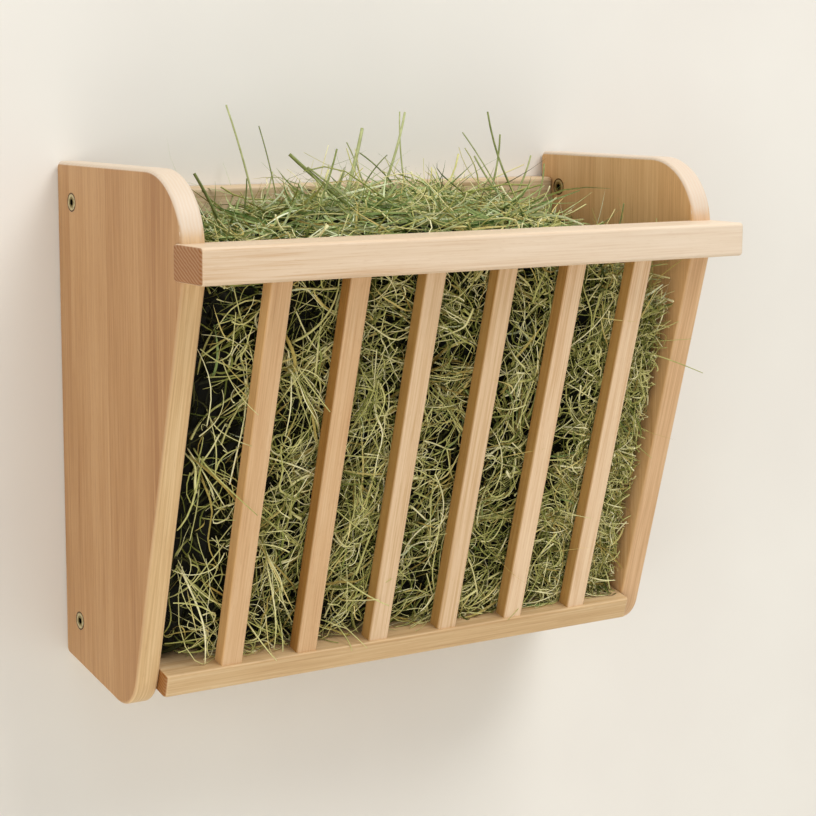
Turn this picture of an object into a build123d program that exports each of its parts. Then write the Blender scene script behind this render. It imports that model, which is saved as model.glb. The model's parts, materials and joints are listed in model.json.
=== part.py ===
"""Wall-hung wooden hay feeder, filled with hay.

Two side panels carry two back rails, a tilted floor board and a heavy front rail, and six slats
lean outwards between the floor board and the rail.  The joints are glued dowels; brass bolts and
screws show on the outside of the panels.

X runs along the wall, the wall is the plane Y = 0 and the front faces -Y, Z is up.  The origin is
the centre of the four wall-screw holes.  Heights in the list of sizes are measured from the lower
back corner of the side panels, and up() turns them into Z.
"""
import os
from math import cos, radians, sin, tan

from build123d import *

os.makedirs("parts", exist_ok=True)

# ---------------------------------------------------------------- driving sizes, mm and degrees
outer_width = 400.0  # over the outer faces of the side panels
panel_thickness = 16.0
panel_height = 320.0  # along the back edge
panel_depth = 170.0  # from the wall to the front edge, above the rail and where the slope starts
front_lean = 15.0  # how far the slanted front and the slats lean out from upright
bottom_fall = 11.3  # how steeply the panels' bottom edge falls towards the front
top_front_radius = 45.0
bottom_front_radius = 24.0
back_corner_radius = 4.0
panel_ease = 2.4  # rounding of the panels' long arrises

rail_drop = 41.0  # from the top of the panels down to the front rail's top face
rail_height = 22.0
rail_depth = 35.0
rail_housing = 6.0  # how deep the rail is let into the front edge of the panels
rail_overhang = 3.0  # how far each end stands past the outer face of its panel
rail_ease = 2.4

slat_count = 6
slat_width = 15.0
slat_depth = 11.0
slat_proud = 6.5  # how far the slats stand in front of the panels' slanted edge
slat_ease = 1.8

floor_thickness = 15.0
floor_back_height = 37.0  # height of the floor's top face at the wall
floor_proud = 8.5  # how far the floor's nose stands in front of that edge
floor_nose_radius = 3.0  # rounding of the nose's two ends, seen from above
floor_ease = 1.5

back_rail_thickness = 15.0
back_rail_height = 40.0
back_rail_drop = 18.0  # from the top of the panels down to the upper rail
back_rail_ease = 3.0

wall_hole_spacing = 240.0  # along the wall; one pair in the middle of each back rail
wall_hole_diameter = 5.0
wall_hole_countersink = 10.0

dowel_diameter = 6.0
dowel_length = 22.0
dowel_fit = 0.1  # gap on the radius and beyond each end
dowel_chamfer = 0.8
floor_dowel_places = [12.0, 48.0]  # behind the panels' slanted edge

brass_head_diameter = 12.0
countersink_angle = 90.0
socket_across_flats = 4.0
socket_depth = 2.2
bolt_shank_diameter = 6.0
bolt_sleeve_diameter = 8.0
bolt_drop = 25.0  # from the top of the panels down to the bolt
bolt_set_in = 21.5  # from the wall to the bolts and screws
bolt_fit = 0.1
sleeve_web = 3.4  # solid end of the sleeve nut, under its flange
sleeve_nut_gap = 1.0  # between the sleeve's mouth and the bolt's head
screw_shank_diameter = 5.0
screw_length = 46.0
screw_rise = 1.8  # how far the floor's screw sits above the middle of the board

hay_clearance = 0.4
# height of the fill's front, crown and back above the front rail's top face
hay_left_rises = (-16.0, -2.0, -12.0)
hay_middle_rises = (-2.0, 17.0, 4.0)
hay_right_rises = (-46.0, -14.0, 4.0)
hay_neck_drop = 4.0  # from the rail's underside, or the front, to where the front turns upright
hay_hollow_start = 0.6  # share of the inner half width beyond which the front falls back
hay_hollow_depth = 44.0  # how far it has fallen back at the right panel
hay_shoulder_place = 0.25  # share of the fill's depth from its front to the rounded shoulder
hay_shoulder_rise = 0.7  # share of the climb from the front to the crown reached there
hay_crown_place = 0.65  # share of the fill's depth from its front to the crown
hay_places = (-1, -0.6, -0.2, 0.2, 0.45, 0.65, 0.85, 1)  # of the sections, shares of the half width

# The long stems that stand out of the fill: where each leaves it and where its tip is.  X is a
# share of the inner half width, Y a share of the panels' depth, and the last number is the tip's
# height above the panels, in mm.
stems = [
    (-0.58, -0.59, -0.67, -0.50, 36.0),
    (-0.42, -0.41, -0.46, -0.32, 22.0),
    (-0.70, -0.65, -0.82, -0.56, -5.0),
    (-0.13, -0.59, -0.43, -0.50, 5.0),
    (-0.21, -0.47, -0.07, -0.38, 20.0),
    (-0.04, -0.41, 0.15, -0.32, 30.0),
    (0.18, -0.29, 0.20, -0.21, 30.0),
    (-0.43, -0.65, -0.27, -0.56, 8.0),
    (0.69, -0.41, 0.52, -0.32, 30.0),
    (0.44, -0.38, 0.62, -0.26, 14.0),
    (0.57, -0.53, 0.39, -0.44, 1.0),
    (0.80, -0.24, 0.91, -0.15, -8.0),
    (0.56, -0.35, 0.77, -0.26, -1.0),
]
stem_sides = 6
stem_root_radius = 1.2
stem_tip_radius = 0.7
stem_root_depth = 12.0  # how far below the crown the line of each stem is aimed
stem_clearance = 0.6  # between a stem's flat root and the fill

# ---------------------------------------------------------------- derived places
rail_top = panel_height - rail_drop
rail_bottom = rail_top - rail_height
inner_width = outer_width - 2 * panel_thickness
lean_slope = tan(radians(front_lean))
fall_slope = tan(radians(bottom_fall))
along_slat = (0, -sin(radians(front_lean)), cos(radians(front_lean)))


def front_edge(height):
    """Y of the panels' slanted front edge at a height."""
    return -panel_depth - (height - rail_bottom) * lean_slope


def floor_top(y):
    """Height of the floor board's top face at a distance Y."""
    return floor_back_height + y * lean_slope


# where the floor's top meets the panels' slanted edge
floor_seat_y = ((rail_bottom - floor_back_height) * lean_slope - panel_depth) / (1 + lean_slope**2)
floor_drop = floor_thickness / cos(radians(front_lean))  # the floor's thickness, measured upright
upper_rail_top = panel_height - back_rail_drop
upper_hole_height = upper_rail_top - back_rail_height / 2
lower_rail_top = floor_top(0) + back_rail_height
lower_hole_height = floor_top(0) + back_rail_height / 2
origin_height = (upper_hole_height + lower_hole_height) / 2


def up(height):
    """Z of a height above the panels' lower back corner."""
    return height - origin_height


# the floor's top face, from the panels' slanted edge; its local Y runs back to the wall
floor_plane = Plane(
    origin=(0, floor_seat_y, up(floor_top(floor_seat_y))), x_dir=(1, 0, 0), z_dir=along_slat
)

slat_gap = (inner_width - slat_count * slat_width) / (slat_count + 1)
slat_pitch = slat_gap + slat_width
slat_places = [(i - (slat_count - 1) / 2) * slat_pitch for i in range(slat_count)]
slat_middle = slat_depth / 2 - slat_proud  # behind the panels' slanted edge
slat_foot_middle = floor_plane.from_local_coords((0, slat_middle, 0))
slat_run = (up(rail_bottom) - slat_foot_middle.Z) / along_slat[2]
slat_head_middle = slat_foot_middle + Vector(*along_slat) * slat_run

rail_back = -panel_depth + rail_housing
rail_front = rail_back - rail_depth
rail_middle = up(rail_bottom + rail_height / 2)
rail_dowel_x = (outer_width - panel_thickness) / 2

bolt_height = panel_height - bolt_drop
screw_height = floor_top(-bolt_set_in) - floor_drop / 2 + screw_rise
back_dowel_rise = back_rail_height / 4  # above and below the middle of each back rail
back_rail_middles = [up(upper_hole_height), up(lower_hole_height)]

hole_radius = dowel_diameter / 2 + dowel_fit
hole_depth = dowel_length / 2 + dowel_fit


def drill(at, out_of, radius=hole_radius, depth=hole_depth):
    """Bore a blind hole into the current part; out_of points out of its mouth."""
    with Locations(Plane(origin=at, z_dir=out_of)):
        Hole(radius, depth)


def dowels(joints, along):
    """Build one group of dowels with bevelled ends, each centred on its joint."""
    with BuildPart() as group:
        for at in joints:
            with Locations(Plane(origin=at, z_dir=along)):
                Cylinder(dowel_diameter / 2, dowel_length)
        chamfer(group.edges().filter_by(GeomType.CIRCLE), dowel_chamfer)
    return group


def finish(builder, name):
    """Label a finished piece and write its file."""
    builder.part.label = name
    export_step(builder.part, f"parts/{name}.step")


# ---------------------------------------------------------------- side panels
corner_y = (rail_bottom * lean_slope - panel_depth) / (1 + fall_slope * lean_slope)
corner_height = corner_y * fall_slope
panel_corners = [
    ((0, up(0)), back_corner_radius),
    ((corner_y, up(corner_height)), bottom_front_radius),
    ((-panel_depth, up(rail_bottom)), 0),
    ((-panel_depth, up(panel_height)), top_front_radius),
    ((0, up(panel_height)), back_corner_radius),
]


def side_panel(side):
    """Build the panel on one side, -1 for left and 1 for right."""
    outer_x = side * outer_width / 2
    inner_x = side * inner_width / 2
    with BuildPart() as panel:
        with BuildSketch(Plane.YZ.offset(min(outer_x, inner_x))) as outline:
            with BuildLine():
                Polyline(*[corner for corner, radius in panel_corners], close=True)
            make_face()
            for corner, radius in panel_corners:
                if radius:
                    fillet(outline.vertices().sort_by_distance(corner)[0], radius)
        extrude(amount=panel_thickness)
        fillet(panel.faces().filter_by(Axis.X).edges(), panel_ease)
        # housing for the front rail
        with Locations((side * (outer_width / 2), rail_back, rail_middle)):
            Box(
                3 * panel_thickness,
                2 * rail_housing,
                rail_height,
                align=(Align.CENTER, Align.MAX, Align.CENTER),
                mode=Mode.SUBTRACT,
            )
        # connector bolt, countersunk from outside and for the sleeve's flange from inside
        for x, out in ((outer_x, side), (inner_x, -side)):
            with Locations(Plane(origin=(x, -bolt_set_in, up(bolt_height)), z_dir=(out, 0, 0))):
                CounterSinkHole(
                    bolt_sleeve_diameter / 2 + bolt_fit,
                    brass_head_diameter / 2 + bolt_fit,
                    depth=panel_thickness,
                    counter_sink_angle=countersink_angle,
                )
        # screw into the end of the floor board
        with Locations(Plane(origin=(outer_x, -bolt_set_in, up(screw_height)), z_dir=(side, 0, 0))):
            CounterSinkHole(
                screw_shank_diameter / 2 + bolt_fit,
                brass_head_diameter / 2 + bolt_fit,
                depth=panel_thickness,
                counter_sink_angle=countersink_angle,
            )
        for middle in back_rail_middles:
            for rise in (-back_dowel_rise, back_dowel_rise):
                drill((inner_x, -back_rail_thickness / 2, middle + rise), (-side, 0, 0))
        for back in floor_dowel_places:
            drill(floor_plane.from_local_coords((inner_x, back, -floor_thickness / 2)), (-side, 0, 0))
        drill((side * rail_dowel_x, rail_back, rail_middle), (0, -1, 0))
    return panel


left_side_panel = side_panel(-1)
right_side_panel = side_panel(1)
finish(left_side_panel, "left_side_panel")
finish(right_side_panel, "right_side_panel")

# ---------------------------------------------------------------- back rails
def back_rail(foot_at_wall, foot_at_front, top, hole_height):
    """Build a rail against the wall from its heights; its front top arris is well rounded."""
    with BuildPart() as rail:
        with BuildSketch(Plane.YZ.offset(-inner_width / 2)):
            with BuildLine():
                Polyline(
                    (0, up(foot_at_wall)),
                    (-back_rail_thickness, up(foot_at_front)),
                    (-back_rail_thickness, up(top)),
                    (0, up(top)),
                    close=True,
                )
            make_face()
        extrude(amount=inner_width)
        top_face = rail.faces().sort_by(Axis.Z)[-1]
        fillet(top_face.edges().filter_by(Axis.X).sort_by(Axis.Y)[0], back_rail_ease)
        fillet(rail.faces().sort_by(Axis.Z)[-1].edges().filter_by(Axis.Y), back_rail_ease)
        for x in (-wall_hole_spacing / 2, wall_hole_spacing / 2):
            with Locations(Plane(origin=(x, -back_rail_thickness, up(hole_height)), z_dir=(0, -1, 0))):
                CounterSinkHole(
                    wall_hole_diameter / 2,
                    wall_hole_countersink / 2,
                    depth=back_rail_thickness,
                    counter_sink_angle=countersink_angle,
                )
        for side in (-1, 1):
            for rise in (-back_dowel_rise, back_dowel_rise):
                drill((side * inner_width / 2, -back_rail_thickness / 2, up(hole_height) + rise), (side, 0, 0))
    return rail


upper_foot = upper_rail_top - back_rail_height
upper_back_rail = back_rail(upper_foot, upper_foot, upper_rail_top, upper_hole_height)
lower_back_rail = back_rail(
    floor_top(0), floor_top(-back_rail_thickness), lower_rail_top, lower_hole_height
)
finish(upper_back_rail, "upper_back_rail")
finish(lower_back_rail, "lower_back_rail")

# ---------------------------------------------------------------- floor board
with BuildPart() as floor_board:
    with BuildSketch(floor_plane):
        with Locations((0, -floor_proud)):
            Rectangle(inner_width, panel_depth + floor_proud, align=(Align.CENTER, Align.MIN))
    extrude(amount=-floor_thickness)
    split(bisect_by=Plane.XZ, keep=Keep.TOP)
    nose_ends = floor_board.edges().filter_by(Axis((0, 0, 0), along_slat)).sort_by(Axis.Y)[:2]
    fillet(nose_ends, floor_nose_radius)
    fillet(floor_board.edges().filter_by(Axis.X).sort_by(Axis.Y)[:2], floor_ease)
    for x in slat_places:
        drill(floor_plane.from_local_coords((x, slat_middle, 0)), along_slat)
    for side in (-1, 1):
        end_x = side * inner_width / 2
        for back in floor_dowel_places:
            drill(floor_plane.from_local_coords((end_x, back, -floor_thickness / 2)), (side, 0, 0))
        screw_mouth = (end_x, -bolt_set_in, up(screw_height))
        drill(screw_mouth, (side, 0, 0), screw_shank_diameter / 2 + bolt_fit, screw_length)
finish(floor_board, "floor_board")

# ---------------------------------------------------------------- front rail
with BuildPart() as front_rail:
    with Locations((0, rail_back, rail_middle)):
        Box(
            outer_width + 2 * rail_overhang,
            rail_depth,
            rail_height,
            align=(Align.CENTER, Align.MAX, Align.CENTER),
        )
    fillet(front_rail.edges(), rail_ease)
    for x in slat_places:
        drill((x, slat_head_middle.Y, slat_head_middle.Z), tuple(-c for c in along_slat))
    for side in (-1, 1):
        drill((side * rail_dowel_x, rail_back, rail_middle), (0, 1, 0))
finish(front_rail, "front_rail")

# ---------------------------------------------------------------- slats
for number, x in enumerate(slat_places, start=1):
    with BuildPart() as slat:
        with BuildSketch(floor_plane):
            with Locations((x, slat_middle)):
                RectangleRounded(slat_width, slat_depth, slat_ease)
        extrude(amount=slat_run + slat_depth)
        split(bisect_by=Plane.XY.offset(up(rail_bottom)), keep=Keep.BOTTOM)
        drill((x, slat_foot_middle.Y, slat_foot_middle.Z), tuple(-c for c in along_slat))
        drill((x, slat_head_middle.Y, slat_head_middle.Z), along_slat)
    finish(slat, f"slat_{number}")

# ---------------------------------------------------------------- dowels
slat_feet = [(x, slat_foot_middle.Y, slat_foot_middle.Z) for x in slat_places]
slat_heads = [(x, slat_head_middle.Y, slat_head_middle.Z) for x in slat_places]
rail_joints = [(side * rail_dowel_x, rail_back, rail_middle) for side in (-1, 1)]
back_joints = [
    (side * inner_width / 2, -back_rail_thickness / 2, middle + rise)
    for side in (-1, 1)
    for middle in back_rail_middles
    for rise in (-back_dowel_rise, back_dowel_rise)
]
floor_joints = [
    floor_plane.from_local_coords((side * inner_width / 2, back, -floor_thickness / 2))
    for side in (-1, 1)
    for back in floor_dowel_places
]
finish(dowels(slat_feet, along_slat), "slat_foot_dowels")
finish(dowels(slat_heads, along_slat), "slat_head_dowels")
finish(dowels(rail_joints, (0, 1, 0)), "front_rail_dowels")
finish(dowels(back_joints, (1, 0, 0)), "back_rail_dowels")
finish(dowels(floor_joints, (1, 0, 0)), "floor_board_dowels")

# ---------------------------------------------------------------- brass bolts, sleeves and screws
head_radius = brass_head_diameter / 2


def countersunk_shaft(shank_radius, length):
    """Build a flat-headed shaft along -Z with a hex socket, its head's face at the origin."""
    with BuildPart() as shaft:
        with BuildSketch(Plane.XZ):
            with BuildLine():
                Polyline(
                    (0, 0),
                    (head_radius, 0),
                    (shank_radius, shank_radius - head_radius),
                    (shank_radius, -length),
                    (0, -length),
                    close=True,
                )
            make_face()
        revolve(axis=Axis.Z)
        with BuildSketch():
            RegularPolygon(socket_across_flats / 2, 6, major_radius=False)
        extrude(amount=-socket_depth, mode=Mode.SUBTRACT)
    return shaft


bolt = countersunk_shaft(bolt_shank_diameter / 2, panel_thickness - sleeve_web - bolt_fit)
floor_screw = countersunk_shaft(screw_shank_diameter / 2, screw_length)

# the sleeve nut lies in the panel from the inside; its shell covers the bolt's shank
with BuildPart() as sleeve:
    shell_length = panel_thickness - head_radius + bolt_shank_diameter / 2 - sleeve_nut_gap
    with BuildSketch(Plane.XZ):
        with BuildLine():
            Polyline(
                (0, 0),
                (head_radius, 0),
                (bolt_sleeve_diameter / 2, bolt_sleeve_diameter / 2 - head_radius),
                (bolt_sleeve_diameter / 2, -shell_length),
                (0, -shell_length),
                close=True,
            )
        make_face()
    revolve(axis=Axis.Z)
    with Locations((0, 0, -sleeve_web)):
        Cylinder(
            bolt_shank_diameter / 2 + bolt_fit,
            shell_length,
            align=(Align.CENTER, Align.CENTER, Align.MAX),
            mode=Mode.SUBTRACT,
        )
    with BuildSketch():
        RegularPolygon(socket_across_flats / 2, 6, major_radius=False)
    extrude(amount=-socket_depth, mode=Mode.SUBTRACT)


def place_pair(piece, x, height, outward, name):
    """Set a copy of a turned piece in each panel and write the pair."""
    with BuildPart() as pair:
        for side in (-1, 1):
            seat = Plane(origin=(side * x, -bolt_set_in, up(height)), z_dir=(side * outward, 0, 0))
            add(piece.part.moved(seat.location))
    finish(pair, name)


place_pair(bolt, outer_width / 2, bolt_height, 1, "panel_bolts")
place_pair(sleeve, inner_width / 2, bolt_height, -1, "panel_bolt_sleeves")
place_pair(floor_screw, outer_width / 2, screw_height, 1, "floor_screws")

# ---------------------------------------------------------------- hay
hay_half_width = inner_width / 2 - hay_clearance
hay_back = -back_rail_thickness - hay_clearance
hay_stations = [hay_half_width * place for place in hay_places]


def hay_heights(x):
    """Heights of the fill's front, crown and back at a distance along the wall."""
    side_rises = hay_left_rises if x < 0 else hay_right_rises
    share = (x / hay_half_width) ** 2
    pairs = zip(hay_middle_rises, side_rises)
    return [rail_top + middle + (side - middle) * share for middle, side in pairs]


def hay_hollow(x):
    """How far the fill's front has fallen back from the slats at a distance along the wall."""
    share = (x / hay_half_width - hay_hollow_start) / (1 - hay_hollow_start)
    return hay_hollow_depth * max(0.0, share)


def hay_section(x):
    """Corners (Y, Z) of the fill's upright section."""
    front_height, crown_height, back_height = hay_heights(x)
    neck_height = min(rail_bottom, front_height) - hay_neck_drop
    behind_slats = (slat_depth - slat_proud + hay_clearance) / cos(radians(front_lean))
    toe = floor_plane.from_local_coords((0, behind_slats + hay_hollow(x), hay_clearance))
    front = max(front_edge(neck_height) + behind_slats, rail_back + hay_clearance) + hay_hollow(x)
    back_foot = floor_top(hay_back) + hay_clearance / cos(radians(front_lean))
    depth = hay_back - front
    shoulder_height = front_height + hay_shoulder_rise * (crown_height - front_height)
    return [
        (hay_back, up(back_foot)),
        (toe.Y, toe.Z),
        (front, up(neck_height)),
        (front, up(front_height)),
        (front + hay_shoulder_place * depth, up(shoulder_height)),
        (front + hay_crown_place * depth, up(crown_height)),
        (hay_back, up(back_height)),
    ]


with BuildPart() as hay_fill:
    for x in hay_stations:
        with BuildSketch(Plane.YZ.offset(x)):
            with BuildLine():
                Polyline(*hay_section(x), close=True)
            make_face()
    loft(ruled=True)
finish(hay_fill, "hay_fill")

with BuildPart() as hay_stems:
    for root_x, root_y, tip_x, tip_y, tip_rise in stems:
        root_height = hay_heights(root_x * hay_half_width)[1] - stem_root_depth
        aim = Vector(root_x * hay_half_width, root_y * panel_depth, up(root_height))
        tip = Vector(tip_x * hay_half_width, tip_y * panel_depth, up(panel_height + tip_rise))
        growth = (tip - aim).normalized()
        crossings = hay_fill.part.find_intersection_points(Axis(tip, growth))
        surface, normal = min(crossings, key=lambda crossing: (crossing[0] - tip).length)
        # the flat root stands off the surface by the clearance at its nearest rim
        upright = abs(growth.dot(normal))
        leaning = (1 - upright**2) ** 0.5
        root = surface + growth * ((stem_clearance + stem_root_radius * leaning) / upright)
        foot = Plane(origin=root, z_dir=growth)
        with BuildSketch(foot):
            RegularPolygon(stem_root_radius, stem_sides)
        with BuildSketch(foot.offset((tip - root).length)):
            RegularPolygon(stem_tip_radius, stem_sides)
        loft(ruled=True)
finish(hay_stems, "hay_stems")
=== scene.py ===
"""Looks of a wall-hung wooden hay feeder filled with hay.

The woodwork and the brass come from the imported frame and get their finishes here.  The plain
solids that stand for the hay are replaced by loose grass blades, stems and wisps.
"""

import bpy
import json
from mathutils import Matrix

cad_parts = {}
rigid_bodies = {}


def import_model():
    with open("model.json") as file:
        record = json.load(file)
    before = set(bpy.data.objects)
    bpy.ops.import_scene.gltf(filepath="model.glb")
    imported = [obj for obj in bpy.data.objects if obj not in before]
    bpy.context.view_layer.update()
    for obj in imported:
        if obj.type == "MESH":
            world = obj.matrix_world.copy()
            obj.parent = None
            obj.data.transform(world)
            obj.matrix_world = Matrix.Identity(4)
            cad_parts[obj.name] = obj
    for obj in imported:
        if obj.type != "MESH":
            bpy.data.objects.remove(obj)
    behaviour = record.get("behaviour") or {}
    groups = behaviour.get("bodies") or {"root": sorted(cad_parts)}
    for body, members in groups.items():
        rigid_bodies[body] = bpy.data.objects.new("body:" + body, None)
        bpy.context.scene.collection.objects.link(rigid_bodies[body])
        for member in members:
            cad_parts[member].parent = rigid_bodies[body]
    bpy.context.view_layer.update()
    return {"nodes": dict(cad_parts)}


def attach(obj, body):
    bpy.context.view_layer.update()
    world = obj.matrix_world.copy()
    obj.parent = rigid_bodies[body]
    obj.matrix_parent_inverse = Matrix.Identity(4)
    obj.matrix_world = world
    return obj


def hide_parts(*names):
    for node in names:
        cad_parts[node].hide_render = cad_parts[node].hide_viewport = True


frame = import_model()

import json
import logging
import math
from dataclasses import dataclass, field, replace
from enum import Enum

import bpy
import numpy as np
from mathutils import Matrix, Vector

LOG = logging.getLogger("hay_feeder")

MM = 0.001
ORIGIN_HEIGHT = 169.5  # mm from the panels' lower back corner up to the frame's origin


def linear(hex_colour: str, alpha: float = 1.0) -> tuple[float, float, float, float]:
    """Turns an sRGB hex colour to linear.

    Args:
        hex_colour: The colour as "#rrggbb".
        alpha: The fourth value of the result.

    Returns:
        Red, green, blue and alpha.
    """
    channels = []
    for start in (1, 3, 5):
        value = int(hex_colour[start : start + 2], 16) / 255
        channels.append(value / 12.92 if value <= 0.04045 else ((value + 0.055) / 1.055) ** 2.4)
    return (*channels, alpha)


def add_node(
    tree: bpy.types.NodeTree,
    kind: str,
    settings: dict | None = None,
    values: dict | None = None,
    links: dict | None = None,
) -> bpy.types.Node:
    """Adds a node with its settings, socket values and incoming links.

    Args:
        tree: The node tree of a material or world.
        kind: The node's type name.
        settings: Properties of the node, by name.
        values: Values of input sockets, by name or index.
        links: Output sockets that feed input sockets, by name or index.

    Returns:
        The new node.
    """
    node = tree.nodes.new(kind)
    for name, value in (settings or {}).items():
        setattr(node, name, value)
    for key, value in (values or {}).items():
        node.inputs[key].default_value = value
    for key, socket in (links or {}).items():
        tree.links.new(socket, node.inputs[key])
    return node


def new_material(name: str) -> tuple[bpy.types.Material, bpy.types.NodeTree, bpy.types.Node]:
    """Makes an empty material with a Principled shader on its output.

    Args:
        name: The material's name.

    Returns:
        The material, its node tree and the Principled shader.
    """
    material = bpy.data.materials.new(name)
    material.use_nodes = True
    tree = material.node_tree
    tree.nodes.clear()
    shader = add_node(tree, "ShaderNodeBsdfPrincipled")
    add_node(tree, "ShaderNodeOutputMaterial", links={"Surface": shader.outputs["BSDF"]})
    return material, tree, shader


def ramp(
    tree: bpy.types.NodeTree, factor: bpy.types.NodeSocket, stops: list[tuple[float, tuple]]
) -> bpy.types.NodeSocket:
    """Adds a colour ramp.

    Args:
        tree: The node tree.
        factor: The socket that drives the ramp.
        stops: Places from 0 to 1, each with a linear colour.

    Returns:
        The ramp's colour output.
    """
    node = add_node(tree, "ShaderNodeValToRGB", links={"Fac": factor})
    elements = node.color_ramp.elements
    while len(elements) < len(stops):
        elements.new(0.5)
    for element, (place, colour) in zip(elements, stops):
        element.position = place
        element.color = colour
    return node.outputs["Color"]


def blend_colours(
    tree: bpy.types.NodeTree,
    amount: bpy.types.NodeSocket | float,
    first: bpy.types.NodeSocket | tuple,
    second: bpy.types.NodeSocket | tuple,
    blend_type: str = "MIX",
) -> bpy.types.NodeSocket:
    """Mixes two colours.

    Args:
        tree: The node tree.
        amount: How much of the second colour, as a socket or a number.
        first: A socket or a linear colour.
        second: A socket or a linear colour.
        blend_type: How the two are mixed.

    Returns:
        The mixed colour.
    """
    values = {}
    links = {}
    for key, given in ((0, amount), (6, first), (7, second)):
        if isinstance(given, bpy.types.NodeSocket):
            links[key] = given
        else:
            values[key] = given
    node = add_node(
        tree,
        "ShaderNodeMix",
        {"data_type": "RGBA", "blend_type": blend_type},
        values,
        links,
    )
    return node.outputs[2]


def calculate(
    tree: bpy.types.NodeTree, operation: str, *operands: bpy.types.NodeSocket | float
) -> bpy.types.NodeSocket:
    """Adds a Math node.

    Args:
        tree: The node tree.
        operation: The node's operation.
        operands: Its one to three inputs, as sockets or numbers.

    Returns:
        The result's socket.
    """
    values = {i: v for i, v in enumerate(operands) if not isinstance(v, bpy.types.NodeSocket)}
    links = {i: v for i, v in enumerate(operands) if isinstance(v, bpy.types.NodeSocket)}
    return add_node(tree, "ShaderNodeMath", {"operation": operation}, values, links).outputs[0]


class Grain(Enum):
    """The way a board's fibres run, as the turn that brings them onto Z."""

    UPRIGHT = (0.0, 0.0, 0.0)
    ALONG_WALL = (0.0, math.radians(-90.0), 0.0)
    ALONG_SLAT = (math.radians(-15.0), 0.0, 0.0)


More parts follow.
